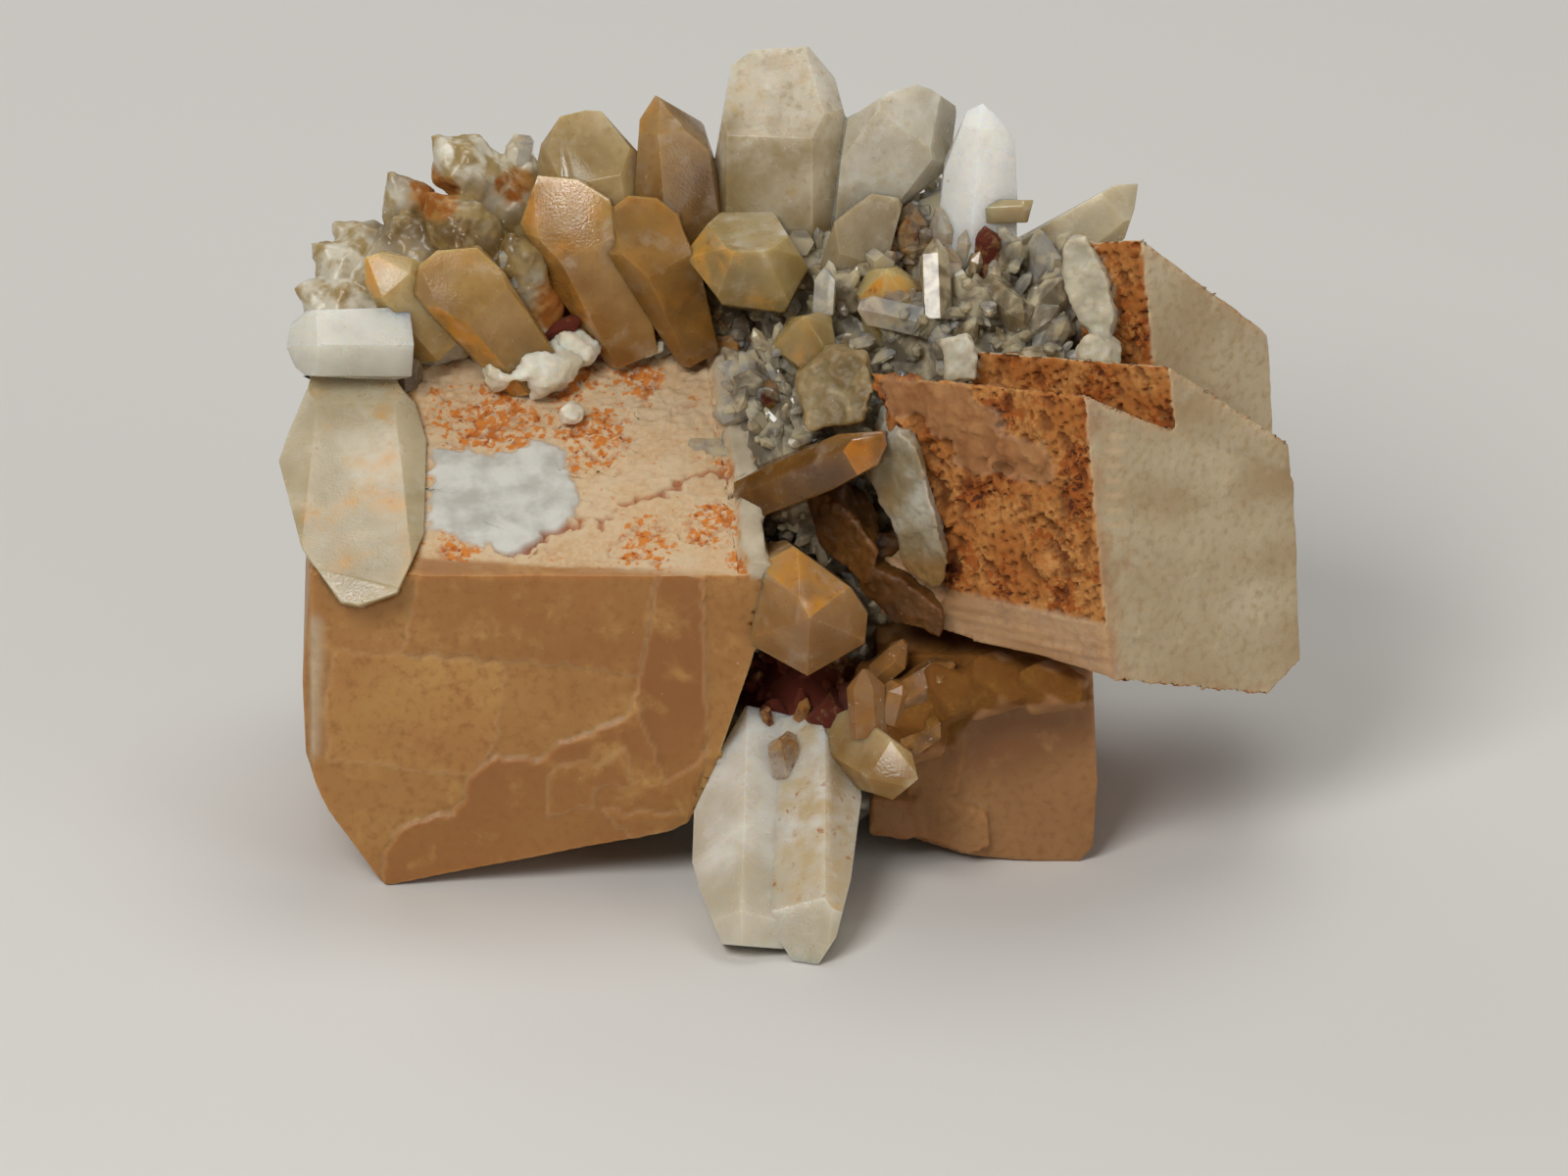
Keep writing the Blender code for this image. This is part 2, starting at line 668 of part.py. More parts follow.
QUARTZ = {
    "quartz_front_face": [
        dict(
            root=(-2.4, 29.6, 1.0),
            tip=(-3.6, 35.2, 20.5),
            width=12.4,
            tops={0: -1.6, 3: -0.8},
            rim=[
                (-8.9, 38.4), (-7.8, 39.5), (-2.4, 39.7), (-0.9, 38.0), (2.4, 32.6),
                (0.0, 28.0), (-6.3, 28.9), (-9.7, 33.9), (-8.9, 38.4),
            ],
        ),
    ],
    "quartz_front_middle": [
        dict(
            root=(-9.0, 26.0, 3.0),
            tip=(-16.0, 41.4, 15.5),
            width=9.4,
            roll=8,
            tops={0: -1.6},
            rim=[
                (-14.0, 28.0), (-17.8, 34.0), (-17.2, 38.8), (-15.8, 39.9), (-13.0, 39.6),
                (-10.2, 37.4), (-8.9, 32.5), (-7.2, 27.8),
            ],
        ),
    ],
    "quartz_front_left": [
        dict(
            root=(-15.0, 26.0, 3.0),
            tip=(-24.4, 43.8, 14.5),
            width=10.2,
            roll=-6,
            tops={0: -1.6, 1: 0.6},
            rim=[
                (-21.5, 28.0), (-24.5, 32.5), (-27.0, 37.5), (-26.8, 39.5), (-25.5, 42.0),
                (-21.0, 41.5), (-17.8, 39.5), (-14.0, 28.0),
            ],
        ),
    ],
    "quartz_front_right": [
        dict(
            root=(5.6, 29.0, 3.0),
            tip=(10.0, 42.4, 11.5),
            width=8.6,
            roll=12,
            tops={0: -1.6},
            rim=[(3.8, 32.7), (5.2, 37.3), (8.9, 40.1), (12.2, 39.6), (10.5, 33.1)],
        ),
    ],
    "quartz_cap": [
        dict(
            root=(12.0, 24.0, 5.0),
            tip=(10.4, 32.4, 16.0),
            width=7.4,
            rim=[
                (8.0, 27.5), (7.6, 30.0), (9.0, 32.4), (10.5, 33.3), (14.0, 31.0),
                (14.5, 29.6), (13.8, 26.4),
            ],
        ),
    ],
    "quartz_knob": [
        dict(
            root=(4.2, 20.5, 10.0),
            tip=(2.0, 27.6, 20.0),
            width=7.0,
            roll=14,
            rim=[(1.4, 22.6), (-0.8, 24.5), (-0.8, 27.0), (1.8, 28.6), (4.8, 27.8), (5.1, 24.5)],
        ),
    ],
    "quartz_smoky": [
        dict(
            root=(-26.4, 23.2, 5.0),
            tip=(-36.6, 36.0, 16.0),
            width=9.4,
            roll=6,
            tops={0: -1.6},
            rim=[
                (-30.5, 22.5), (-35.5, 27.5), (-37.5, 30.0), (-37.2, 32.6), (-35.3, 34.3),
                (-31.2, 34.6), (-28.4, 32.0), (-24.8, 26.0),
            ],
        ),
    ],
    "quartz_amber": [
        dict(
            root=(-34.8, 25.4, 6.0),
            tip=(-42.8, 34.6, 12.0),
            width=6.4,
            rim=[(-41.0, 28.0), (-42.6, 31.0), (-42.6, 33.6), (-41.0, 34.2), (-38.0, 33.6)],
        ),
    ],
    "quartz_bar": [
        dict(
            root=(-38.2, 24.9, 9.5),
            tip=(-52.6, 24.8, 11.5),
            width=7.4,
            roll=28,
            rim=[
                (-39.0, 28.2), (-49.6, 28.3), (-50.2, 27.0), (-50.6, 24.5), (-49.4, 21.6),
                (-39.0, 21.5),
            ],
        ),
    ],
    "quartz_tall": [
        dict(
            root=(-0.6, 33.0, 0.0),
            tip=(-0.4, 60.6, 6.0),
            width=14.0,
            roll=-8,
            thick=0.85,
            tops={0: -3.0, 1: -1.6},
            rim=[
                (-7.2, 42.0), (-5.4, 53.3), (-3.1, 54.9), (2.5, 55.2), (5.2, 52.0),
                (6.2, 48.2), (6.0, 43.0),
            ],
        ),
    ],
    "quartz_brown": [
        dict(
            root=(-10.4, 33.0, 3.0),
            tip=(-12.6, 52.8, 7.0),
            width=9.0,
            roll=20,
            tops={1: -1.6},
            rim=[(-15.0, 40.0), (-14.7, 47.7), (-13.1, 50.2), (-8.2, 47.4), (-6.5, 40.0)],
        ),
    ],
    "quartz_back_left": [
        dict(
            root=(-17.6, 32.0, 1.0),
            tip=(-20.4, 52.2, 5.0),
            width=10.6,
            roll=-8,
            tops={0: -1.8},
            rim=[
                (-25.2, 41.0), (-24.8, 45.2), (-22.8, 48.1), (-20.2, 48.7), (-18.6, 48.6),
                (-15.3, 44.3), (-14.8, 40.0),
            ],
        ),
    ],
    "quartz_leaning": [
        dict(
            root=(3.0, 34.5, 1.0),
            tip=(17.8, 54.6, 7.0),
            width=11.4,
            roll=6,
            thick=0.75,
            tops={1: -1.6, 0: -1.0},
            rim=[
                (5.4, 41.0), (6.5, 47.8), (10.7, 50.5), (13.5, 51.3), (15.0, 50.8),
                (17.7, 49.0), (16.5, 43.0), (9.5, 37.0),
            ],
        ),
    ],
    "quartz_bright": [
        dict(
            root=(19.4, 31.0, 5.0),
            tip=(20.6, 52.4, 10.0),
            width=7.6,
            roll=24,
            tops={1: -1.0},
            rim=[
                (15.8, 38.0), (16.3, 42.5), (18.6, 48.5), (20.2, 49.3), (21.5, 48.2),
                (23.5, 45.6), (23.4, 38.0),
            ],
        ),
    ],
    "quartz_blade": [
        dict(
            root=(23.5, 31.5, 1.0),
            tip=(38.0, 43.0, 6.0),
            width=7.0,
            thick=0.7,
            tops={0: -0.8},
            rim=[
                (25.9, 36.6), (33.7, 41.1), (36.1, 41.2), (35.7, 38.6), (34.6, 35.2),
                (30.0, 31.0),
            ],
        ),
    ],
    "quartz_shelf": [
        dict(
            root=(14.0, 37.6, 8.0),
            tip=(27.0, 38.6, 10.5),
            width=3.6,
            roll=15,
            rim=[(16.5, 39.3), (25.4, 39.5), (24.8, 37.2), (16.5, 36.7)],
        ),
    ],
    "quartz_gap": [
        dict(
            root=(-3.0, 9.2, 17.0),
            tip=(12.0, 15.2, 33.0),
            width=6.4,
            roll=12,
            tops={0: -0.6},
            rim=[
                (-1.5, 12.6), (5.5, 15.6), (10.0, 15.9), (10.4, 14.5), (9.5, 12.5),
                (5.0, 10.0), (-1.0, 7.6),
            ],
        ),
    ],
    "quartz_centre": [
        dict(
            root=(2.0, 0.5, 8.0),
            tip=(2.6, -3.0, 31.5),
            width=12.4,
            roll=30,
            tops={0: 0.8},
            rim=[
                (-2.3, 4.2), (0.2, 4.8), (6.8, 0.0), (8.5, -2.6), (8.0, -7.2), (1.6, -10.2),
                (-2.8, -8.3), (-3.6, -4.0), (-2.3, 4.2),
            ],
        ),
    ],
    "quartz_low": [
        dict(
            root=(3.0, -12.4, 9.0),
            tip=(14.8, -20.6, 25.0),
            width=7.6,
            roll=4,
            rim=[
                (4.5, -13.5), (7.0, -12.5), (13.0, -16.8), (13.6, -19.4), (11.0, -21.5),
                (5.5, -19.5), (4.2, -15.5),
            ],
        ),
    ],
    "quartz_bottom": [
        dict(
            root=(3.4, -16.0, 10.9),
            tip=(3.4, -42.0, 29.5),
            width=11.6,
            roll=24,
            tops={0: -0.6},
            rim=[
                (0.6, -37.4), (1.1, -38.2), (3.5, -38.1), (6.2, -34.0), (6.8, -29.4),
                (7.9, -25.0), (8.4, -22.0), (6.4, -18.5),
            ],
            stands=True,
        ),
        dict(
            root=(-3.1, -15.5, 10.4),
            tip=(-4.0, -42.0, 28.5),
            width=11.0,
            roll=36,
            rim=[
                (-5.4, -15.0), (-9.8, -24.0), (-9.9, -27.2), (-8.6, -30.4), (-7.1, -35.7),
                (-6.2, -36.1), (-1.1, -36.5),
            ],
            stands=True,
        ),
    ],
    "quartz_rear_left": [
        dict(root=(-18.0, 26.0, -14.0), tip=(-24.0, 37.5, -26.5), width=10.0),
    ],
    "quartz_rear_middle": [
        dict(root=(-2.0, 26.0, -14.0), tip=(-1.0, 38.0, -29.0), width=11.0, roll=12),
    ],
    "quartz_rear_right": [
        dict(root=(13.0, 26.0, -12.0), tip=(20.0, 36.0, -25.0), width=8.6, roll=5),
    ],
}

SMOKY_POINTS = {"quartz_smoky", "quartz_brown", "quartz_gap", "quartz_centre"}


# Bed


BED_LUMPS = [
    ((-8.0, 19.6, -10.0), (21.0, 13.5, 15.0)),
    ((18.0, 18.0, -2.0), (19.0, 12.0, 12.0)),
    ((20.0, 24.0, 6.0), (14.0, 9.5, 8.5)),
    ((6.0, 30.0, 0.0), (12.0, 9.0, 8.0)),
    ((-27.0, 19.0, -9.0), (19.0, 9.0, 14.0)),
    ((2.0, 1.0, -2.0), (13.5, 15.0, 15.0)),
    ((3.6, 14.0, 8.0), (7.2, 12.0, 12.0)),
    ((4.0, -10.0, 4.0), (10.0, 12.0, 9.5)),
    ((0.0, 12.0, -18.0), (27.0, 12.0, 18.0)),
]

# Where the druse shows in the front view: across from and to, up from and to, spacing, length
DRUSE_FIELDS = [
    (5.5, 33.0, 23.5, 36.5, 3.1, 5.0),
    (-24.0, -5.0, 24.5, 29.5, 3.1, 4.6),
    (-3.5, 4.0, 4.5, 24.0, 3.2, 4.4),
    (-40.0, -26.0, 33.0, 40.0, 3.6, 4.6),
]


def bed_near(across, up):
    """How near the bed's surface is, where a line of sight meets it first."""
    start = turn_upright(across, up, 0.0)
    nearest = None
    for centre, radii in BED_LUMPS:
        offset = start - turn_upright(*centre)
        scaled = Vector(o / r for o, r in zip(offset, radii))
        way = Vector(t / r for t, r in zip(TOWARDS_VIEWER, radii))
        half = scaled.dot(way)
        inner = half * half - way.dot(way) * (scaled.dot(scaled) - 1)
        if inner >= 0:
            near = (-half + math.sqrt(inner)) / way.dot(way)
            nearest = near if nearest is None else max(near, nearest)
    return nearest


def druse_fields(rng):
    """The small points that show from the front, spaced evenly and set at all angles."""
    points = []
    for left, right, low, high, spacing, length in DRUSE_FIELDS:
        rows = round((high - low) / spacing) + 1
        columns = round((right - left) / spacing) + 1
        for row in range(rows):
            for column in range(columns):
                across = left + (column + rng.uniform(-0.4, 0.4) + row % 2 / 2) * spacing
                up = low + (row + rng.uniform(-0.4, 0.4)) * spacing
                near = bed_near(across, up)
                if near is None:
                    continue
                foot = turn_upright(across, up, near - 2.6)
                lean = Vector(rng.uniform(-0.75, 0.75) for _ in range(3))
                axis = (TOWARDS_VIEWER * 0.55 + Vector((0, 0, 0.7)) + lean).normalized()
                size = rng.uniform(0.75, 1.3)
                width = rng.uniform(1.9, 3.6) * size
                reach = length * size + 1.6
                points.append(small_point(foot, axis, reach, width, rng.uniform(0, 60)))
    return points


def druse_back(rng):
    """The small points of the top and the back, spread over every lump."""
    points = []
    for centre, radii in BED_LUMPS:
        middle = turn_upright(*centre)
        rear = centre[2] < REAR_NEAR
        for _ in range(REAR_CRYSTALS if rear else BACK_CRYSTALS):
            height = rng.uniform(-0.4, 0.9)
            turn = rng.uniform(0.0, math.pi)
            flat = math.sqrt(1 - height * height)
            way = Vector((flat * math.cos(turn), flat * math.sin(turn), height))
            foot = middle + Vector(w * r * 0.8 for w, r in zip(way, radii))
            lean = Vector(rng.uniform(-0.45, 0.45) for _ in range(3))
            steep = Vector(w / r for w, r in zip(way, radii)).normalized()
            length = rng.uniform(5.0, 8.5)
            width = rng.uniform(2.6, 4.6)
            axis = (steep + lean).normalized()
            points.append(small_point(foot, axis, length, width, rng.uniform(0, 60)))
    return points


def bed():
    """The quartz bed: broad lumps, and a druse of small points all over them."""
    rng = random.Random(DRUSE_SEED)
    blocks = [lump(centre, radii, 200 + i, 24) for i, (centre, radii) in enumerate(BED_LUMPS)]
    return blocks + druse_fields(rng) + druse_back(rng)


def small_point(foot, axis, length, width, roll):
    forward = axis.orthogonal().normalized()
    faces = [(foot, -axis)]
    for i in range(CRYSTAL_SIDES):
        turn = Matrix.Rotation(math.radians(roll) + i * math.tau / CRYSTAL_SIDES, 3, axis)
        outward = turn @ forward
        faces.append((foot + outward * width / 2, outward))
        slope = outward * math.cos(QUARTZ_FACE_TILT) + axis * math.sin(QUARTZ_FACE_TILT)
        faces.append((foot + axis * length, slope))
    return faces


def clear_scene():
    for obj in list(bpy.data.objects):
        bpy.data.objects.remove(obj)


def build():
    clear_scene()
    specimen = Specimen()
    specimen.add("quartz_left_plate", left_plate(), MILKY)
    specimen.add("calcite_left", left_rhomb(), PEACH)
    blocks, pits = right_rhomb()
    specimen.add("calcite_right", blocks, PEACH, pits)
    specimen.add("calcite_lower", lower_rhomb(), PEACH)
    for name, points in QUARTZ.items():
        look = SMOKY if name in SMOKY_POINTS else MILKY
        specimen.add(name, [crystal(**point) for point in points], look)
    specimen.add("quartz_west", west_cluster(), MILKY)
    specimen.add("quartz_pocket", pocket_cluster(), MILKY)
    specimen.add("calcite_bar", bar(), WHITE)
    specimen.add("calcite_block", small_block(), WHITE)
    specimen.add("calcite_cream", cream_chunk(), WHITE)
    specimen.add("calcite_lobe", lobe(), WHITE)
    specimen.add("calcite_apron", apron(), PEACH)
    for i, (name, lumps) in enumerate(CHIPS.items()):
        blocks = [lump(c, r, 80 + 5 * i + j, 12) for j, (c, r) in enumerate(lumps)]
        specimen.add(name, blocks, WHITE)
    specimen.add("quartz_druse", bed(), CLEAR)


build()
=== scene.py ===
# %% [markdown]
# # Calcite with quartz
# The real thing is a cabinet specimen about 104 mm wide. Three blocky calcite crystals hold
# a bed of small quartz points between them, and a fan of larger milky points stands on the
# bed. This lesson starts from the plain faceted solids of every crystal and gives each its
# real surface: stepped growth faces, rusty crusts, chalky skins, and quartz that light
# sinks into.

import json
import math

import bpy
import numpy as np
from mathutils import Matrix, Vector
from mathutils.bvhtree import BVHTree

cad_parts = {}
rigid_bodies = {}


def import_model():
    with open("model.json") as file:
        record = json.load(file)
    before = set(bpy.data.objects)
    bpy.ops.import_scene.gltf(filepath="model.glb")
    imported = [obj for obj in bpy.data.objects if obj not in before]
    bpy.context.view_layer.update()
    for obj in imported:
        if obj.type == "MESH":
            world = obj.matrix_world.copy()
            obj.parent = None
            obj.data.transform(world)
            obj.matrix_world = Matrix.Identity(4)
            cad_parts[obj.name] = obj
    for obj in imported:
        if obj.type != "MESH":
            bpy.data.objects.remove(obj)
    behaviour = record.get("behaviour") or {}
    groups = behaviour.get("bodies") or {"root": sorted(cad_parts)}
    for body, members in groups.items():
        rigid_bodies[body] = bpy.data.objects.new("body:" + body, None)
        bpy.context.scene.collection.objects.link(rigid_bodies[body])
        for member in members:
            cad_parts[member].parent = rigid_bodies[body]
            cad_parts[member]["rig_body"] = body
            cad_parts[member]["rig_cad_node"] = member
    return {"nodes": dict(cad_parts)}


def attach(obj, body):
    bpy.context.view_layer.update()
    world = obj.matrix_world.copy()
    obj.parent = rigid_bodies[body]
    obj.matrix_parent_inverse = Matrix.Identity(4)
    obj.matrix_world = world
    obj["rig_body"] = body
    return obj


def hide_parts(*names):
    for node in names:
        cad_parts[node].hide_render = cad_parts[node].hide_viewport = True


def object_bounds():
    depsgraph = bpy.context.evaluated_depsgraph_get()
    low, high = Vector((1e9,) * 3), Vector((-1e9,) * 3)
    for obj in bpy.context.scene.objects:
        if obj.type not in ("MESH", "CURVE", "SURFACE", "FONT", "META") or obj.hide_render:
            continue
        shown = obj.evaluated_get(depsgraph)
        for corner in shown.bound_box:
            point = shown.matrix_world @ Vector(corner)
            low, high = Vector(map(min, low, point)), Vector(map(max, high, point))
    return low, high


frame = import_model()
CAD_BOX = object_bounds()
MM = 0.001
print("crystals loaded:", len(frame["nodes"]))

# %% [markdown]
# The specimen was drawn from one photograph, which looks 25 degrees down on it. Places that
# come from it are given in that view, in millimetres: across to the right, up the view, and
# near, towards the viewer. These functions turn such places into the scene's and back.

# %% Places in the front view
SIGHT_DIP = math.radians(25)
SIGHT_CENTRE = Vector((-0.57, 0.133, 22.4)) * MM
TO_VIEWER = Vector((0, -math.cos(SIGHT_DIP), math.sin(SIGHT_DIP)))
UP_VIEW = Vector((0, math.sin(SIGHT_DIP), math.cos(SIGHT_DIP)))
VIEW_AXES = np.array([(1, 0, 0), tuple(UP_VIEW), tuple(TO_VIEWER)])


def in_scene(across, up, near):
    """The place in the scene of a place in the front view."""
    return SIGHT_CENTRE + (Vector((across, 0, 0)) + UP_VIEW * up + TO_VIEWER * near) * MM


def places_of(obj):
    """Every vertex of a piece, in metres."""
    places = np.empty(len(obj.data.vertices) * 3)
    obj.data.vertices.foreach_get("co", places)
    return places.reshape(-1, 3)


def place_again(obj, places):
    obj.data.vertices.foreach_set("co", places.ravel())
    obj.data.update()


def seen_places(obj):
    """Every vertex of a piece as across, up and near."""
    return (places_of(obj) - np.array(SIGHT_CENTRE)) / MM @ VIEW_AXES.T


def normals_of(obj):
    """The way every vertex faces, in the scene's axes."""
    normals = np.empty(len(obj.data.vertices) * 3)
    obj.data.vertex_normals.foreach_get("vector", normals)
    return normals.reshape(-1, 3)


# %% [markdown]
# Where rust ends and clean crystal starts is drawn as an outline in the front view. A numpy
# function measures how deep inside the outline each vertex lies, and `ramp` turns that into
# a soft edge. `wobble` is a smooth random field, made of a few waves, that frays the edges,
# because nothing here was cut with a knife.

# %% Outlines over a surface
def line_distance(flat, line):
    """The distance from each flat place to an open line."""
    corners = np.array(line, float)
    nearest = np.full(len(flat), np.inf)
    for start, end in zip(corners, corners[1:]):
        along = end - start
        share = np.clip(((flat - start) @ along) / (along @ along), 0, 1)
        nearest = np.minimum(nearest, np.linalg.norm(flat - start - share[:, None] * along, axis=1))
    return nearest


def depth_inside(flat, outline):
    """How far inside a closed outline each flat place lies, below zero outside it."""
    corners = np.array(outline, float)
    inside = np.zeros(len(flat), bool)
    for start, end in zip(corners, np.roll(corners, -1, axis=0)):
        crosses = (start[1] > flat[:, 1]) != (end[1] > flat[:, 1])
        slope = (end[0] - start[0]) / (end[1] - start[1] or 1e-9)
        inside ^= crosses & (flat[:, 0] < start[0] + (flat[:, 1] - start[1]) * slope)
    distance = line_distance(flat, outline + outline[:1])
    return np.where(inside, distance, -distance)


def ramp(values, low, high):
    """Runs smoothly from 0 at low to 1 at high."""
    share = np.clip((values - low) / (high - low), 0, 1)
    return share * share * (3 - 2 * share)


def wobble(places, size, seed):
    """A smooth random field from about -1 to 1, whose waves are about size across."""
    rng = np.random.default_rng(seed)
    total = np.zeros(len(places))
    for _ in range(10):
        way = rng.normal(size=places.shape[1])
        way *= math.tau / (size * rng.uniform(0.8, 2.2)) / np.linalg.norm(way)
        total += np.sin(places @ way + rng.uniform(0, math.tau))
    return total / 3.2


def paint(obj, name, weights):
    """Keeps a weight for each vertex, for the material to read."""
    if name not in obj.data.attributes:
        obj.data.attributes.new(name, "FLOAT", "POINT")
    obj.data.attributes[name].data.foreach_set("value", np.asarray(weights, np.float32))


def fence(obj, name, weights):
    """A vertex group that limits a modifier."""
    group = obj.vertex_groups.new(name=name)
    for i in np.nonzero(weights > 0.02)[0]:
        group.add([int(i)], float(weights[i]), "REPLACE")


# %% [markdown]
# Every dressed crystal starts as a copy of its solid. The solid is loose triangles, so its
# doubles are merged and its flat faces are made whole again before anything is bevelled.

# %% Copies of the solids
def only(obj):
    """Makes one object the selected and active one."""
    bpy.ops.object.select_all(action="DESELECT")
    obj.select_set(True)
    bpy.context.view_layer.objects.active = obj


def whole_copy(node, name):
    """A copy of a crystal's solid with merged corners and whole flat faces."""
    piece = frame["nodes"][node].copy()
    piece.data = piece.data.copy()
    piece.name = name
    piece.data.materials.clear()
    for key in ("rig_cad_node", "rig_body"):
        del piece[key]
    piece.parent = None
    bpy.context.collection.objects.link(piece)
    only(piece)
    bpy.ops.object.mode_set(mode="EDIT")
    bpy.ops.mesh.select_all(action="SELECT")
    bpy.ops.mesh.remove_doubles(threshold=0.00001)
    bpy.ops.mesh.dissolve_limited(angle_limit=math.radians(0.6))
    bpy.ops.object.mode_set(mode="OBJECT")
    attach(piece, "root")
    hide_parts(node)
    return piece


def finish_with(obj, kind, **settings):
    """Adds one modifier and applies it."""
    only(obj)
    modifier = obj.modifiers.new(kind.title(), kind)
    for name, value in settings.items():
        setattr(modifier, name, value)
    bpy.ops.object.modifier_apply(modifier=modifier.name)


def even_skin(node, name, grid):
    """A copy of a solid with a fine, even skin, whose grid is in millimetres."""
    piece = whole_copy(node, name)
    finish_with(piece, "REMESH", mode="VOXEL", voxel_size=grid * MM, use_smooth_shade=True)
    close_gaps(piece, node)
    return piece


def relief(obj, kind, size, strength, area, direction="NORMAL", middle=0.5, depth=3):
    """Presses a pattern of one size into a fenced area, sizes in millimetres."""
    texture = bpy.data.textures.new(kind.lower(), kind)
    texture.noise_scale = size * MM
    if kind == "CLOUDS":
        texture.noise_depth = depth
    finish_with(
        obj,
        "DISPLACE",
        texture=texture,
        strength=strength * MM,
        mid_level=middle,
        direction=direction,
        vertex_group=area,
        texture_coords="LOCAL",
    )


# %% [markdown]
# The solids stop 0.3 mm short of each other. Real crystals grow into one another, so every
# vertex that faces such a gap is set on its neighbour's surface.

# %% Close the gaps between crystals
GAP_REACH = 0.5 * MM
OVERLAP = 0.05 * MM


def solid_tree(nodes):
    """The triangles of some solids, ready to be asked what is near or what a line meets."""
    corners, triangles = [], []
    for node in nodes:
        mesh = frame["nodes"][node].data
        mesh.calc_loop_triangles()
        first = len(corners)
        corners += [tuple(v.co) for v in mesh.vertices]
        triangles += [tuple(first + v for v in t.vertices) for t in mesh.loop_triangles]
    return BVHTree.FromPolygons(corners, triangles)


def close_gaps(piece, node):
    """Sets what is near another crystal's solid on that solid."""
    others = solid_tree([other for other in frame["nodes"] if other != node])
    for vertex in piece.data.vertices:
        near = others.find_nearest(vertex.co, GAP_REACH)[0]
        if near is not None:
            vertex.co = near + (near - vertex.co).normalized() * OVERLAP


# %% [markdown]
# ## Colours and nodes
# Colours are written as sRGB hex values, as a colour picker gives them. One function adds a
# node with its settings and links. Two more make what every mineral here needs: a cloudy
# mask at a real size in millimetres, and colours laid over each other.

# %% Colours
def colour(code):
    """A linear colour from an sRGB hex value."""
    parts = [int(code[i : i + 2], 16) / 255 for i in (1, 3, 5)]
    linear = [p / 12.92 if p <= 0.04045 else ((p + 0.055) / 1.055) ** 2.4 for p in parts]
    return (*linear, 1.0)


# %% Nodes
def add_node(tree, kind, settings=None, links=None):
    """Adds a node, sets its properties, and fills its sockets with values or other outputs."""
    node = tree.nodes.new(kind)
    for name, value in (settings or {}).items():
        setattr(node, name, value)
    for socket, value in (links or {}).items():
        if isinstance(value, bpy.types.Node):
            value = value.outputs[0]
        if isinstance(value, bpy.types.NodeSocket):
            tree.links.new(value, node.inputs[socket])
        else:
            node.inputs[socket].default_value = value
    return node


def new_finish(name):
    """A new material, its node tree, its shader, and its object coordinates."""
    material = bpy.data.materials.new(name)
    material.use_nodes = True
    tree = material.node_tree
    place = add_node(tree, "ShaderNodeTexCoord").outputs["Object"]
    return material, tree, tree.nodes["Principled BSDF"], place


def patches(tree, place, size, start, end, seed=0.0, detail=4.0, warp=0.0, more=None, by=0.4):
    """A cloudy mask from 0 to 1 in patches of about size millimetres, more where more is high."""
    cloud = add_node(
        tree,
        "ShaderNodeTexNoise",
        {"noise_dimensions": "4D"},
        {"Vector": place, "W": seed, "Scale": 1 / (size * MM), "Detail": detail, "Distortion": warp},
    )
    if more:
        cloud = add_node(
            tree, "ShaderNodeMath", {"operation": "MULTIPLY_ADD"}, {0: more, 1: by, 2: cloud}
        )
    return add_node(
        tree,
        "ShaderNodeMapRange",
        {"interpolation_type": "SMOOTHSTEP"},
        {"Value": cloud, "From Min": start, "From Max": end},
    ).outputs[0]


def laid_over(tree, base, *layers):
    """A colour with others over it, each where its mask says."""
    for mask, over in layers:
        if isinstance(over, str):
            over = colour(over)
        layer = add_node(tree, "ShaderNodeMix", {"data_type": "RGBA"}, {0: mask, 6: base, 7: over})
        base = layer.outputs[2]
    return base


# %% [markdown]
# ## Calcite
# Calcite's body is translucent, so light spreads a few millimetres under the surface:
# subsurface scattering. Where other crystals once grew against it, its faces carry a
# granular crust of iron oxide, matt and orange to brown, and a chalky white skin. All the
# calcite reads the same painted masks: `rust`, `grains` for how thick the orange grains lie,
# `chalk`, `rim` for its grey weathered edges, `tint` for pinker and yellower growth zones,
# and one for whitish lines: a painted highlight along the edges of its growth steps, and
# the whitish ribs of the right rhomb.

# %% The calcite finish
MASKS = ("rust", "grains", "chalk", "rim", "tint", "edge", "crack")


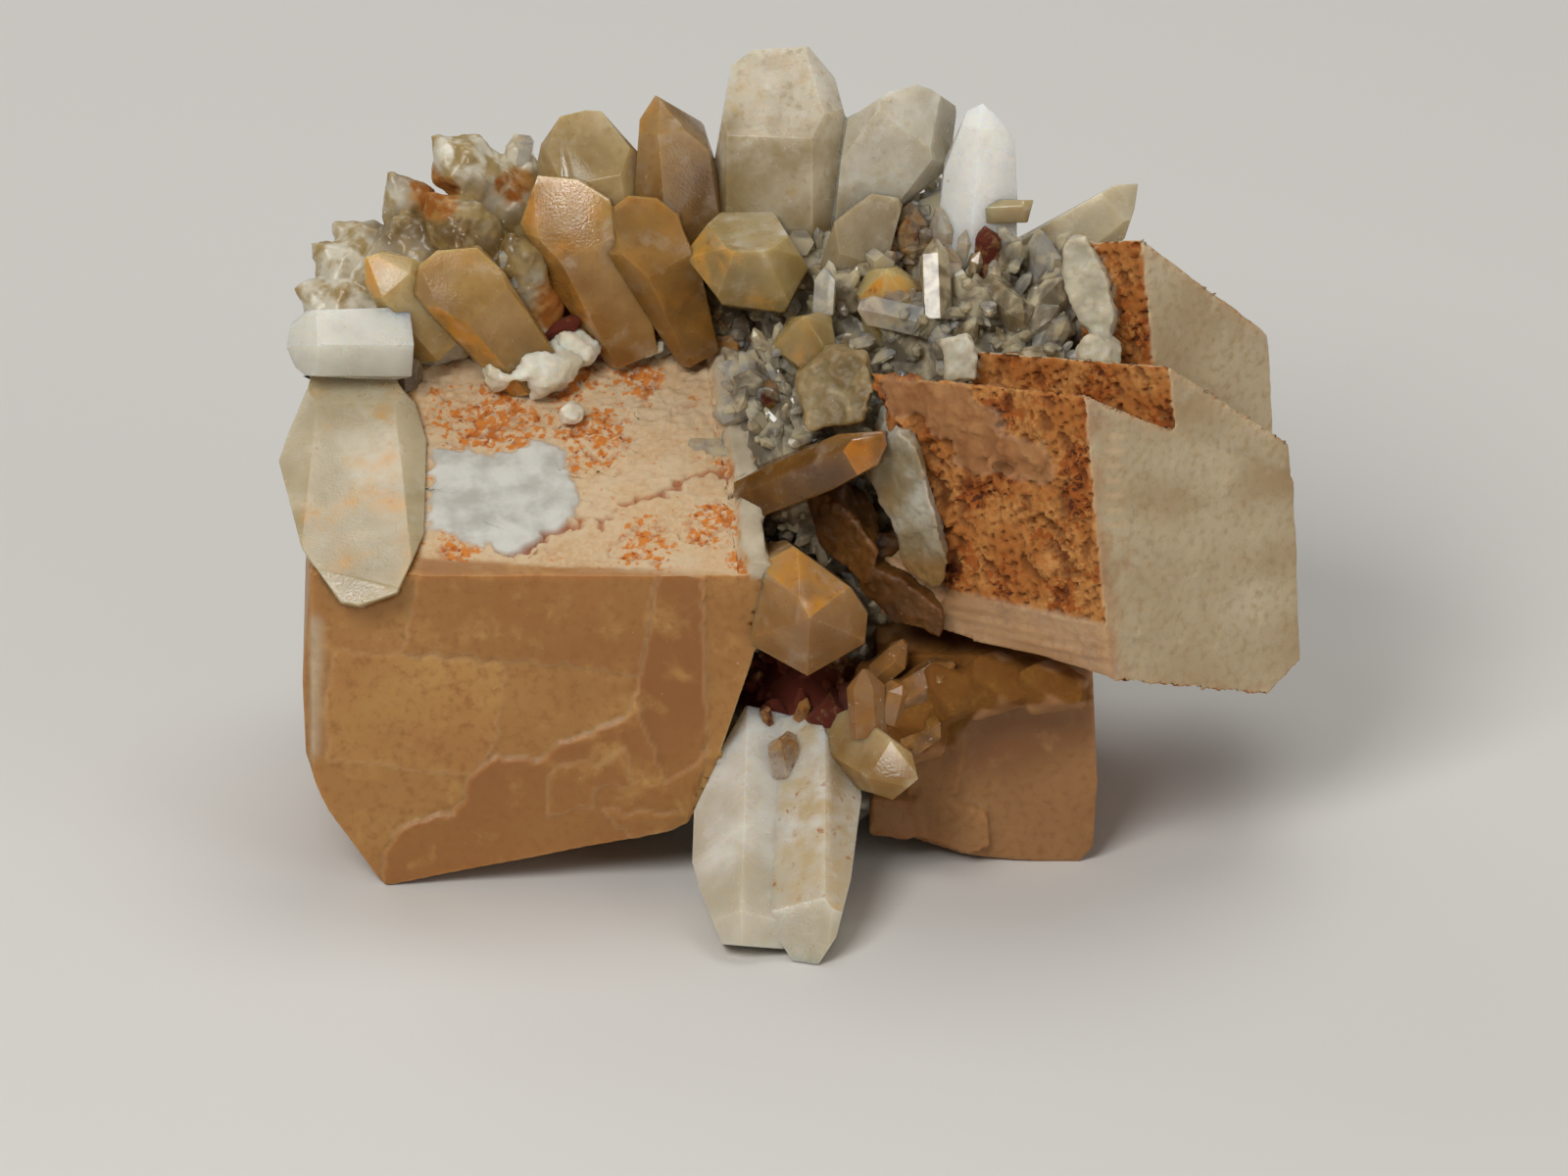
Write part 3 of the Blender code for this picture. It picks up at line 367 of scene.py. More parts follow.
def calcite(name, body, yellow, pink, crust, weathered="#AE9E84", weathered_pale="#C4B69C", glow=2.0):
    material, tree, shader, place = new_finish(name)
    mask = {}
    for key in MASKS:
        mask[key] = add_node(tree, "ShaderNodeAttribute", {"attribute_name": key}).outputs["Fac"]
    growth = patches(tree, place, 9.0, 0.3, 0.7, 1.0, 3.0)
    toned = laid_over(tree, colour(body), (growth, yellow), (mask["tint"], pink))
    speck = patches(tree, place, 0.35, 0.7, 0.82, 2.0, 3.0)
    veil = patches(tree, place, 3.5, 0.5, 0.78, 3.0, 6.0, 0.5)
    fleck = patches(tree, place, 0.9, 0.42, 0.85, 9.0, 8.0)
    clean = laid_over(tree, toned, (veil, yellow), (fleck, pink), (speck, "#D8BC92"))

    crust_base, crust_fine, crust_grain, crust_deep = crust
    broad = patches(tree, place, 5.0, 0.4, 0.6, 8.0, 6.0, 0.5)
    fine = patches(tree, place, 0.5, 0.3, 0.75, 4.0, 4.0)
    grain = patches(tree, place, 0.8, 0.62, 0.74, 5.0, 6.0, 0.3, mask["grains"], 0.2)
    deep = patches(tree, place, 0.6, 0.7, 0.82, 6.0, 5.0, 0.4, mask["grains"], 0.16)
    crusted = laid_over(
        tree,
        colour(crust_base),
        (broad, crust_fine),
        (fine, crust_base),
        (grain, crust_grain),
        (deep, crust_deep),
    )

    mottle = patches(tree, place, 2.6, 0.35, 0.7, 7.0, 5.0)
    chalk = laid_over(tree, colour("#CFCCC2"), (mottle, "#AFABA0"))
    rim = laid_over(tree, colour(weathered), (mottle, weathered_pale))

    whole = laid_over(
        tree,
        clean,
        (mask["rim"], rim),
        (mask["rust"], crusted),
        (mask["chalk"], chalk),
        # painted highlight along growth-step edges, and whitish ribs
        (mask["edge"], "#DDBE94"),
        (mask["crack"], crust_deep),
    )
    matt = add_node(
        tree, "ShaderNodeMath", {"operation": "MAXIMUM"}, {0: mask["rust"], 1: mask["chalk"]}
    )
    matt = add_node(tree, "ShaderNodeMath", {"operation": "MAXIMUM"}, {0: matt, 1: mask["rim"]})
    rough = add_node(tree, "ShaderNodeMapRange", None, {"Value": matt, "To Min": 0.45, "To Max": 0.9})
    sink = add_node(tree, "ShaderNodeMapRange", None, {"Value": matt, "To Min": 0.8, "To Max": 0.1})
    frost = add_node(
        tree, "ShaderNodeTexNoise", None, {"Vector": place, "Scale": 1 / (0.3 * MM), "Detail": 4.0}
    )
    bump = add_node(
        tree, "ShaderNodeBump", None, {"Strength": 0.6, "Distance": 0.1 * MM, "Height": frost}
    )
    tree.links.new(whole, shader.inputs["Base Color"])
    tree.links.new(rough.outputs[0], shader.inputs["Roughness"])
    tree.links.new(sink.outputs[0], shader.inputs["Subsurface Weight"])
    tree.links.new(bump.outputs[0], shader.inputs["Normal"])
    shader.inputs["IOR"].default_value = 1.6
    shader.inputs["Specular IOR Level"].default_value = 0.3
    shader.inputs["Subsurface Radius"].default_value = (1.0, 0.55, 0.3)
    shader.inputs["Subsurface Scale"].default_value = glow * MM
    return material


# Each crust: its ground, its fine grains, its orange grains, its darkest grains
PEACH = calcite(
    "calcite_peach", "#B28046", "#BC9052", "#95622F", ("#D0B692", "#C8A478", "#CC7C32", "#9C4E1C")
)
PALE = calcite(
    "calcite_pale", "#C2AF8E", "#CDBC9C", "#A88C64", ("#A8662A", "#C28A4C", "#9C5218", "#54280C"), "#94623A", "#AE8052"
)
PINK = calcite(
    "calcite_pink", "#A07448", "#AE8250", "#895C34", ("#74460E", "#84581C", "#8E5A16", "#4A2A0C")
)
BROWN = calcite(
    "calcite_brown", "#664014", "#785022", "#4C2C0C", ("#6E4A22", "#7C5628", "#8A5A22", "#4A2C10")
)
# A lighter copy of the white calcite: painted light for the chips, which sit in shade
CHALKY_PAINTED_LIGHT = calcite(
    "calcite_chalky_painted_light", "#E4DFCE", "#EAE6DA", "#CCC2A8", ("#BFAE88", "#C9C3B0", "#B98A4C", "#8E6A40"), glow=1.2
)
GREY = calcite(
    "calcite_grey", "#A8A496", "#BCB6A6", "#8A7A5A", ("#7A5A2C", "#8C6A3A", "#7A4A1C", "#4E3414"), glow=1.2
)
CREAM = calcite(
    "calcite_cream", "#948058", "#AC9870", "#786238", ("#8E7448", "#9A8258", "#8A5A22", "#5A3C18")
)
WHITE = calcite(
    "calcite_white", "#C9C3B0", "#D6CDB2", "#ADA48E", ("#BFAE88", "#C9C3B0", "#B98A4C", "#8E6A40"), glow=1.2
)

# %% [markdown]
# ## Quartz
# Milky quartz holds back part of the light in a haze of tiny bubbles, and lets the rest
# through. So its shader is part transmission, part subsurface scattering, with cloudy veils
# between the two. Its IOR is 1.544. Iron stain lies on single faces in yellow to orange
# patches, and a fine frost makes the faces satin rather than glassy.

# %% The quartz finish
def quartz(name, body, veil, stain, clear=0.45, rough=0.22, seed=0.0):
    material, tree, shader, place = new_finish(name)
    stained = add_node(tree, "ShaderNodeAttribute", {"attribute_name": "stain"}).outputs["Fac"]
    frosted = add_node(tree, "ShaderNodeAttribute", {"attribute_name": "frost"}).outputs["Fac"]
    tip = add_node(tree, "ShaderNodeAttribute", {"attribute_name": "tip"}).outputs["Fac"]
    veils = patches(tree, place, 7.0, 0.4, 0.95, seed, 3.0, 0.3, tip, 0.4)
    grit_tone = patches(tree, place, 0.7, 0.45, 0.95, seed + 6.0, 6.0)
    iron = patches(tree, place, 3.2, 0.6, 0.95, seed + 1.0, 8.0, 0.2, stained, 0.3)
    iron_deep = patches(tree, place, 1.1, 0.68, 0.86, seed + 2.0, 5.0, 0.4, stained, 0.12)
    speck = patches(tree, place, 0.3, 0.7, 0.8, seed + 3.0, 2.0)
    rime = patches(tree, place, 2.2, 0.5, 1.1, seed + 4.0, 8.0, 0.1, frosted, 0.3)
    whole = laid_over(
        tree,
        colour(body),
        (veils, veil),
        (grit_tone, body),
        (iron, stain),
        (iron_deep, "#B06C28"),
        (speck, "#EADFC8"),
        (rime, "#E2DED2"),
    )
    haze = patches(tree, place, 3.0, 0.35, 0.7, seed + 5.0)
    shut = add_node(tree, "ShaderNodeMath", {"operation": "MAXIMUM"}, {0: iron, 1: rime})
    see = add_node(
        tree,
        "ShaderNodeMapRange",
        None,
        {"Value": veils, "To Min": clear * 1.3, "To Max": clear * 0.7},
    )
    open_to_light = add_node(
        tree, "ShaderNodeMapRange", None, {"Value": shut, "To Min": see, "To Max": clear * 0.2}
    )
    satin = add_node(
        tree, "ShaderNodeMapRange", None, {"Value": haze, "To Min": rough * 0.6, "To Max": rough * 1.5}
    )
    satin = add_node(
        tree, "ShaderNodeMapRange", None, {"Value": rime, "To Min": satin, "To Max": 0.7}
    )
    grit = add_node(
        tree, "ShaderNodeTexNoise", None, {"Vector": place, "Scale": 1 / (0.28 * MM), "Detail": 3.0}
    )
    bump = add_node(
        tree, "ShaderNodeBump", None, {"Strength": 0.4, "Distance": 0.08 * MM, "Height": grit}
    )
    tree.links.new(whole, shader.inputs["Base Color"])
    tree.links.new(satin.outputs[0], shader.inputs["Roughness"])
    tree.links.new(open_to_light.outputs[0], shader.inputs["Transmission Weight"])
    tree.links.new(bump.outputs[0], shader.inputs["Normal"])
    shader.inputs["IOR"].default_value = 1.544
    shader.inputs["Subsurface Weight"].default_value = 0.9
    shader.inputs["Subsurface Radius"].default_value = (1.0, 0.75, 0.5)
    shader.inputs["Subsurface Scale"].default_value = 3.2 * MM
    return material


# %% [markdown]
# ## The quartz points
# Each point keeps its flat faces, because that is how quartz grows. A narrow bevel stands
# for the worn edges that catch the light, and its lighter finish is part wear and part
# painted highlight. The table gives each point its body colour, the colour of its milky
# veils, its stain, and how clear it is. The next table says which of its faces carry stain
# or frost, by the way they look in the front view.

# %% Dress the points
POINTS = {
    "quartz_tall": ("#A68C56", "#E8DEC8", "#C49C50", 0.35),
    "quartz_brown": ("#946C36", "#B8945E", "#BC8838", 0.45),
    "quartz_back_left": ("#A68850", "#CCB484", "#BC9450", 0.35),
    "quartz_leaning": ("#B4A586", "#D8D0BC", "#C0965A", 0.3),
    "quartz_bright": ("#DEDCD4", "#F2F0EA", "#E0D8C4", 0.08),
    "quartz_blade": ("#B4A686", "#D0C4A6", "#C09A5C", 0.3),
    "quartz_shelf": ("#B09A70", "#C8B488", "#B8863C", 0.35),
    "quartz_front_left": ("#A87430", "#C89E58", "#CC9240", 0.35),
    "quartz_front_middle": ("#94672A", "#B68A46", "#B8802E", 0.35),
    "quartz_front_face": ("#9E8244", "#BCA46C", "#D09A44", 0.35),
    "quartz_front_right": ("#A08A5E", "#BEAC8A", "#AE8A50", 0.4),
    "quartz_cap": ("#BCA266", "#D0B87C", "#D69838", 0.3),
    "quartz_knob": ("#A0864E", "#BCA068", "#C88C38", 0.35),
    "quartz_smoky": ("#B08440", "#C8A262", "#CC9038", 0.4),
    "quartz_amber": ("#BA9650", "#D6BA80", "#D49C40", 0.35),
    "quartz_bar": ("#DCD8CA", "#EAE8DC", "#C8AC74", 0.3),
    "quartz_gap": ("#7A4E14", "#966A2C", "#B87826", 0.45),
    "quartz_centre": ("#B68650", "#CA9E68", "#C48A34", 0.35),
    "quartz_low": ("#B48A48", "#D2B684", "#C09450", 0.4),
    "quartz_bottom": ("#D2C6AC", "#EAE6DC", "#C6B088", 0.2),
    "quartz_left_plate": ("#BEAC84", "#D2C4A4", "#CC9842", 0.25),
    "quartz_rear_left": ("#B59F78", "#C4B08C", "#BC9048", 0.35),
    "quartz_rear_middle": ("#B8A276", "#C7B48C", "#BC9048", 0.35),
    "quartz_rear_right": ("#B59F78", "#C4B08C", "#BC9048", 0.35),
}
STAINED_FACES = {
    "quartz_front_face": [((-0.7, 0.5, 0.4), 0.9), ((-0.7, -0.2, 0.7), 0.8), ((0, -0.6, 0.8), 0.3)],
    "quartz_tall": [((-0.1, 0.4, 0.9), 0.35)],
    "quartz_front_left": [((-0.8, 0.0, 0.6), 0.9), ((-0.1, 0.1, 1.0), 0.5), ((-0.7, -0.6, 0.3), 0.6)],
    "quartz_front_middle": [((0.1, 0.1, 1.0), 0.4), ((0.4, -0.5, 0.8), 0.3)],
    "quartz_smoky": [((-0.4, -0.8, 0.5), 1.0), ((-0.7, -0.2, 0.7), 0.7), ((0, 0.1, 1), 0.25)],
    "quartz_amber": [((-0.8, -0.2, 0.6), 1.0), ((-0.1, 0.2, 1.0), 0.5)],
    "quartz_cap": [((0, -0.2, 1.0), 0.7), ((-0.7, -0.1, 0.7), 0.9), ((0.7, 0.2, 0.7), 0.5)],
    "quartz_knob": [((0, -0.3, 1.0), 0.7), ((-0.7, -0.1, 0.7), 0.6)],
    "quartz_centre": [((0.4, 0.6, 0.7), 1.0), ((-0.4, 0.6, 0.7), 1.0), ((0, 0.7, 0.7), 1.0)],
    "quartz_gap": [((0, -0.2, 1.0), 1.0)],
    "quartz_brown": [((-0.6, 0.4, 0.7), 0.6), ((0.2, 0.5, 0.9), 0.6)],
    "quartz_left_plate": [((0, 0.7, 0.7), 0.5)],
    "quartz_bottom": [((-0.3, 0.6, 0.75), 0.9), ((0.72, 0.42, 0.55), 0.9)],
}
FROSTED_FACES = {
    "quartz_tall": [((-0.1, 0.4, 0.9), 0.3), ((0.6, 0.5, 0.6), 0.6)],
    "quartz_front_face": [((0, 0.9, 0.4), 0.4)],
    "quartz_leaning": [((0.0, -0.2, 1.0), 0.5), ((0.3, 0.3, 0.9), 0.5)],
    "quartz_bright": [((0.4, -0.2, 0.9), 0.4)],
    "quartz_bar": [((0.1, 0.5, 0.9), 0.6)],
}
FACE_MATCH = 0.97


def face_weights(obj, looks):
    """A weight for each vertex, from the way its largest face looks in the front view."""
    weights = np.zeros(len(obj.data.vertices))
    for face in sorted(obj.data.polygons, key=lambda f: f.area):
        way = Vector(VIEW_AXES @ np.array(face.normal))
        matches = [w for look, w in looks if way.dot(Vector(look).normalized()) > FACE_MATCH]
        weights[list(face.vertices)] = max(matches, default=0.0)
    return weights


for i, (node, (body, veil, stain, clear)) in enumerate(POINTS.items()):
    piece = whole_copy(node, node.replace("quartz", "point"))
    finish_with(
        piece,
        "BEVEL",
        width=0.13 * MM,
        segments=2,
        limit_method="ANGLE",
        angle_limit=math.radians(12),
        material=1,
    )
    close_gaps(piece, node)
    up_view = seen_places(piece)[:, 1]
    paint(piece, "tip", (up_view - up_view.min()) / np.ptp(up_view))
    paint(piece, "stain", face_weights(piece, STAINED_FACES.get(node, [])))
    paint(piece, "frost", face_weights(piece, FROSTED_FACES.get(node, [])))
    piece.data.materials.append(quartz(piece.name, body, veil, stain, clear, seed=7.0 * i))
    # The bevel takes a lighter finish: part wear, part painted highlight along the edges.
    piece.data.materials.append(quartz(piece.name + "_edge", veil, "#E4DAC0", stain, clear * 0.5))
    only(piece)
    bpy.ops.object.shade_smooth_by_angle(angle=math.radians(25))
print("points dressed:", len(POINTS))

# %% [markdown]
# ## Small points
# Hundreds of small crystals cover the bed. Three shapes are modelled once, each a hexagonal
# prism whose top is drawn to a point, a ridge or a lopsided facet. Every small crystal is a
# copy of one of them, and the copies are joined to the bed they grow from.

# %% Three shapes of small point
def small_shape(name, shoulder, top_size, top_shift):
    """A prism one unit tall and one wide, whose top shrinks above the shoulder."""
    bpy.ops.object.select_all(action="DESELECT")
    bpy.ops.mesh.primitive_cylinder_add(
        vertices=6, radius=0.5, depth=shoulder, location=(0, 0, shoulder / 2)
    )
    shape = bpy.context.object
    shape.name = name
    bpy.ops.object.transform_apply(location=True)
    bpy.ops.object.mode_set(mode="EDIT")
    bpy.ops.mesh.select_mode(type="FACE")
    bpy.ops.mesh.select_all(action="DESELECT")
    bpy.ops.object.mode_set(mode="OBJECT")
    for face in shape.data.polygons:
        face.select = face.normal.z > 0.9
    bpy.ops.object.mode_set(mode="EDIT")
    bpy.ops.mesh.extrude_region_move(TRANSFORM_OT_translate={"value": (*top_shift, 1 - shoulder)})
    bpy.ops.transform.resize(value=(*top_size, 1.0), center_override=(*top_shift, 1.0))
    bpy.ops.mesh.select_all(action="SELECT")
    bpy.ops.mesh.remove_doubles(threshold=0.02)
    bpy.ops.mesh.normals_make_consistent(inside=False)
    bpy.ops.object.mode_set(mode="OBJECT")
    return shape


SHAPES = [
    small_shape("shape_pointed", 0.74, (0.12, 0.06), (0.04, 0.03)),
    small_shape("shape_ridged", 0.8, (0.6, 0.12), (0.0, 0.08)),
    small_shape("shape_lopsided", 0.66, (0.25, 0.3), (0.18, 0.1)),
]


def grow(shape, root, tip, width, turn=0.0, flat=1.0, shade=0.5, iron=0.0):
    """A copy of a small shape that stands from its root to its tip, all in metres."""
    small = shape.copy()
    small.data = shape.data.copy()
    bpy.context.collection.objects.link(small)
    axis = Vector(tip) - Vector(root)
    upright = axis.to_track_quat("Z", "Y").to_matrix().to_4x4() @ Matrix.Rotation(turn, 4, "Z")
    size = Matrix.Diagonal((width, width * flat, axis.length, 1.0))
    small.matrix_world = Matrix.Translation(root) @ upright @ size
    count = len(small.data.vertices)
    paint(small, "shade", np.full(count, shade))
    paint(small, "iron", np.full(count, iron))
    return small


def join_to(piece, smalls):
    """Joins small crystals to the piece that carries them."""
    only(piece)
    for small in smalls:
        small.select_set(True)
    bpy.ops.object.join()


# %% [markdown]
# The druse finish is nearly clear, with a greenish grey haze. `shade` gives every small
# crystal its own tone, and `iron` is the red-brown earth between them.

# %% The druse finish
def druse_finish(name, body, light, dark, clear, rough=0.06, earth_tone="#7A3E0C"):
    material, tree, shader, place = new_finish(name)
    shade = add_node(tree, "ShaderNodeAttribute", {"attribute_name": "shade"}).outputs["Fac"]
    iron = add_node(tree, "ShaderNodeAttribute", {"attribute_name": "iron"}).outputs["Fac"]
    haze = patches(tree, place, 2.2, 0.4, 0.62, 1.0, 5.0, 0.4)
    toned = laid_over(tree, colour(dark), (shade, light), (haze, body))
    film = patches(tree, place, 2.5, 0.5, 1.0, 4.0, 6.0, 0.3, iron, 0.6)
    earth = patches(tree, place, 1.1, 0.74, 0.98, 2.0, 7.0, 0.3, iron, 0.6)
    speck = patches(tree, place, 0.5, 0.66, 0.74, 3.0, 2.0)
    whole = laid_over(tree, toned, (speck, "#E4E0D0"), (film, "#B8843C"), (earth, earth_tone))
    see = add_node(
        tree, "ShaderNodeMapRange", None, {"Value": haze, "To Min": clear, "To Max": clear * 0.5}
    )
    see = add_node(tree, "ShaderNodeMapRange", None, {"Value": earth, "To Min": see, "To Max": 0.05})
    satin = add_node(tree, "ShaderNodeMapRange", None, {"Value": earth, "To Min": rough, "To Max": 0.95})
    tree.links.new(whole, shader.inputs["Base Color"])
    tree.links.new(see.outputs[0], shader.inputs["Transmission Weight"])
    tree.links.new(satin.outputs[0], shader.inputs["Roughness"])
    shader.inputs["IOR"].default_value = 1.544
    shader.inputs["Subsurface Weight"].default_value = 0.6
    shader.inputs["Subsurface Radius"].default_value = (1.0, 0.9, 0.7)
    shader.inputs["Subsurface Scale"].default_value = 1.0 * MM
    return material


# %% Places on a piece's own skin
def skin_places(obj, count, seed):
    """Random places on a piece's surface, each with the way the surface faces there."""
    rng = np.random.default_rng(seed)
    obj.data.calc_loop_triangles()
    triangles = obj.data.loop_triangles
    areas = np.array([t.area for t in triangles])
    corners = places_of(obj)
    chosen = rng.choice(len(triangles), size=count, p=areas / areas.sum())
    found = []
    for i in chosen:
        a, b, c = (corners[v] for v in triangles[int(i)].vertices)
        s, t = rng.random(2)
        if s + t > 1:
            s, t = 1 - s, 1 - t
        found.append((Vector(a + (b - a) * s + (c - a) * t), Vector(triangles[int(i)].normal)))
    return found, rng


CRYSTALS = solid_tree([node for node in frame["nodes"] if node != "quartz_druse"])
EVERYTHING = solid_tree(frame["nodes"])


def has_room(root, tip, margin=0.4 * MM):
    """Whether no other crystal's face lies between a root and a little beyond its tip."""
    way = tip - root
    reach = way.length + margin
    return CRYSTALS.ray_cast(root, way.normalized(), reach)[0] is None


def first_hit(across, up):
    """Where a sight line first meets a crystal."""
    hit = EVERYTHING.ray_cast(in_scene(across, up, 90.0), -TO_VIEWER)[0]
    return hit or in_scene(across, up, 0.0)


def grow_seen(i, root, tip, rise, width, flatness, shade, iron):
    """A single crystal given in the front view, rooted in what is seen there."""
    start = first_hit(*root) - TO_VIEWER * width * 0.3 * MM
    run = Vector((tip[0] - root[0], 0, 0)) + UP_VIEW * (tip[1] - root[1]) + TO_VIEWER * rise
    return grow(SHAPES[i % len(SHAPES)], start, start + run * MM, width * MM, 0.3, flatness, shade, iron)


# %% The druse bed
# Single crystals that stand out: root and tip in the front view, how far the tip stands
# out, width, flatness, shade and iron
SINGLES = [
    ((4.0, 28.0), (4.3, 32.6), 1.5, 2.4, 0.8, 1.0, 0.0),
    ((13.2, 32.2), (12.4, 37.6), 2.5, 3.0, 0.9, 0.5, 0.5),
    ((15.8, 32.5), (16.3, 38.6), 2.5, 2.8, 0.9, 0.7, 0.3),
    ((18.2, 32.0), (18.7, 36.6), 2.0, 2.2, 0.9, 0.9, 0.2),
    ((20.6, 32.2), (20.9, 36.5), 2.0, 3.2, 0.9, 0.6, 0.7),
    ((26.0, 31.0), (26.8, 36.0), 2.0, 5.0, 0.4, 0.9, 0.0),
    ((-4.0, 24.0), (-4.6, 28.7), 2.0, 4.4, 0.8, 0.5, 0.3),
    ((-0.3, 5.0), (-0.7, 11.4), 1.5, 3.4, 0.8, 0.5, 0.0),
    ((-1.2, 18.6), (-1.2, 21.3), 1.5, 3.4, 0.9, 0.4, 0.6),
    ((-27.4, 31.0), (-27.9, 35.3), 1.5, 3.2, 0.9, 0.9, 0.0),
    ((-26.8, 43.2), (-26.4, 46.2), 0.5, 2.2, 0.9, 1.0, 0.0),
    ((-38.0, 20.3), (-38.3, 24.3), 1.0, 2.6, 0.9, 0.3, 0.3),
    ((-24.0, 26.0), (-20.5, 27.4), 1.5, 2.0, 0.9, 0.2, 1.0),
    ((0.3, -18.6), (-0.3, -15.0), 1.2, 5.2, 0.6, 0.9, 0.42),
]
POCKET_SINGLES = [
    ((8.6, -15.0), (8.2, -8.2), 1.2, 4.2, 0.7, 0.8, 0.1),
    ((10.6, -13.6), (11.6, -9.6), 1.2, 3.0, 0.8, 0.7, 0.2),
    ((6.6, -12.6), (6.0, -9.4), 1.2, 2.6, 0.8, 0.6, 0.2),
    ((11.8, -11.2), (17.4, -7.8), 1.5, 4.6, 0.8, 0.2, 0.2),
    ((12.4, -15.6), (15.8, -13.2), 1.2, 4.2, 0.8, 0.1, 0.3),
    ((9.6, -8.6), (12.6, -6.0), 1.5, 3.6, 0.8, 0.4, 0.3),
    ((1.5, -13.4), (2.4, -11.2), 1.0, 1.6, 0.9, 0.6, 0.4),
    ((-1.6, -13.8), (-2.0, -12.0), 1.0, 1.4, 0.9, 0.5, 0.6),
]
IRON_SPOTS = [
    (1.0, -11.5, 9.0, 1.3), (-22.0, 28.5, 5.0, 0.8), (-12.5, 27.5, 4.0, 0.6), (11.5, 35.0, 5.0, 0.6),
    (17.0, 34.0, 5.0, 0.6), (-35.5, 39.8, 3.5, 0.7), (-36.5, 41.5, 3.0, 0.5), (-27.5, 41.0, 3.0, 0.6),
    (-6.0, 28.0, 3.0, 0.6), (3.0, 31.0, 2.5, 0.5),
]
POINT_COUNT = 4200
DRUSE_MIN_HEIGHT = 1.0 * MM


def iron_at(flat):
    weight = np.zeros(len(flat))
    for across, up, radius, strength in IRON_SPOTS:
        distance = np.hypot(flat[:, 0] - across, flat[:, 1] - up)
        weight = np.maximum(weight, strength * (1 - ramp(distance, radius * 0.4, radius)))
    return weight


bed = whole_copy("quartz_druse", "druse_bed")
finish_with(
    bed, "BEVEL", width=0.1 * MM, segments=1, limit_method="ANGLE", angle_limit=math.radians(20)
)
close_gaps(bed, "quartz_druse")
flat = seen_places(bed)[:, :2]
paint(bed, "iron", iron_at(flat))
paint(bed, "shade", np.full(len(flat), 0.3))
found, rng = skin_places(bed, POINT_COUNT, 5)
smalls = []
for place, way in found:
    seen = (VIEW_AXES @ np.array((place - SIGHT_CENTRE) / MM))
    facing = way.dot(TO_VIEWER)
    lean = Vector(rng.normal(0, 0.38, 3))
    axis = (way + lean + Vector((0, 0, 0.25))).normalized()
    big = 1.0 if facing > 0.1 else rng.uniform(0.9, 3.0)
    width = rng.uniform(0.7, 1.7) * MM * big
    length = width * rng.uniform(1.3, 2.4)
    root = place - axis * width * 0.5
    tip = root + axis * length
    turn = rng.uniform(0, math.tau)
    shade = rng.random()
    shape = SHAPES[int(rng.integers(len(SHAPES)))]
    outside = tip.z < DRUSE_MIN_HEIGHT or tip.y > CAD_BOX[1][1] or not has_room(place, tip)
    if outside:
        continue
    iron = float(iron_at(seen[None, :2])[0]) * 0.7 if facing > 0 else 0.0
    smalls.append(grow(shape, root, tip, width, turn, rng.uniform(0.7, 1.0), shade, iron))
smalls += [grow_seen(i, *single) for i, single in enumerate(SINGLES)]
join_to(bed, smalls)
bed.data.materials.append(druse_finish("quartz_druse", "#E0D2B0", "#FFFBF0", "#B6A27C", 0.75, earth_tone="#5C1C00"))
print("small points on the bed:", len(smalls), "triangles:", len(bed.data.polygons))

# %% [markdown]
# ## The far left cluster and the pocket's points
# Both are points grown together. A fine skin, a little smoothing and a cloudy relief round
# off what is too sharp, and a few small points stand on the pocket.

# %% West cluster and pocket
for node, grid, tones in [
    ("quartz_west", 0.3, ("#A8905E", "#E4DCC6", "#7C6236", 0.2, 0.35, "#94560C")),
    ("quartz_pocket", 0.2, ("#9A6C3C", "#BA9064", "#74480E", 0.3, 0.2, "#4E1C06")),
]:
    piece = even_skin(node, node.replace("quartz", "cluster"), grid)
    finish_with(piece, "SMOOTH", factor=0.5, iterations=4)
    fence(piece, "all_over", np.ones(len(piece.data.vertices)))
    relief(piece, "CLOUDS", 3.0, 1.2, "all_over")
    relief(piece, "CLOUDS", 1.0, 0.3, "all_over")
    flat = seen_places(piece)[:, :2]
    paint(piece, "iron", iron_at(flat))
    brown_core = line_distance(flat, [(-36.0, 37.0), (-29.0, 33.0), (-24.0, 36.0)])
    shade = ramp(brown_core + 1.5 * wobble(flat, 4.0, 3), 2.0, 8.0)
    paint(piece, "shade", shade)
    if node == "quartz_pocket":
        join_to(piece, [grow_seen(i, *single) for i, single in enumerate(POCKET_SINGLES)])
    piece.data.materials.append(druse_finish(piece.name, *tones))

# %% [markdown]
# ## The left rhomb
# Its front face is one flat plane with thin growth plates on it, each a little pinker or
# yellower than the next. The plates are drawn as outlines in the front view, and every
# vertex near the plane is set on it again, raised by the plates it lies in.

# %% Growth plates on the left front
left = even_skin("calcite_left", "rhomb_left", 0.33)
FRONT_DEPTH = -22.867
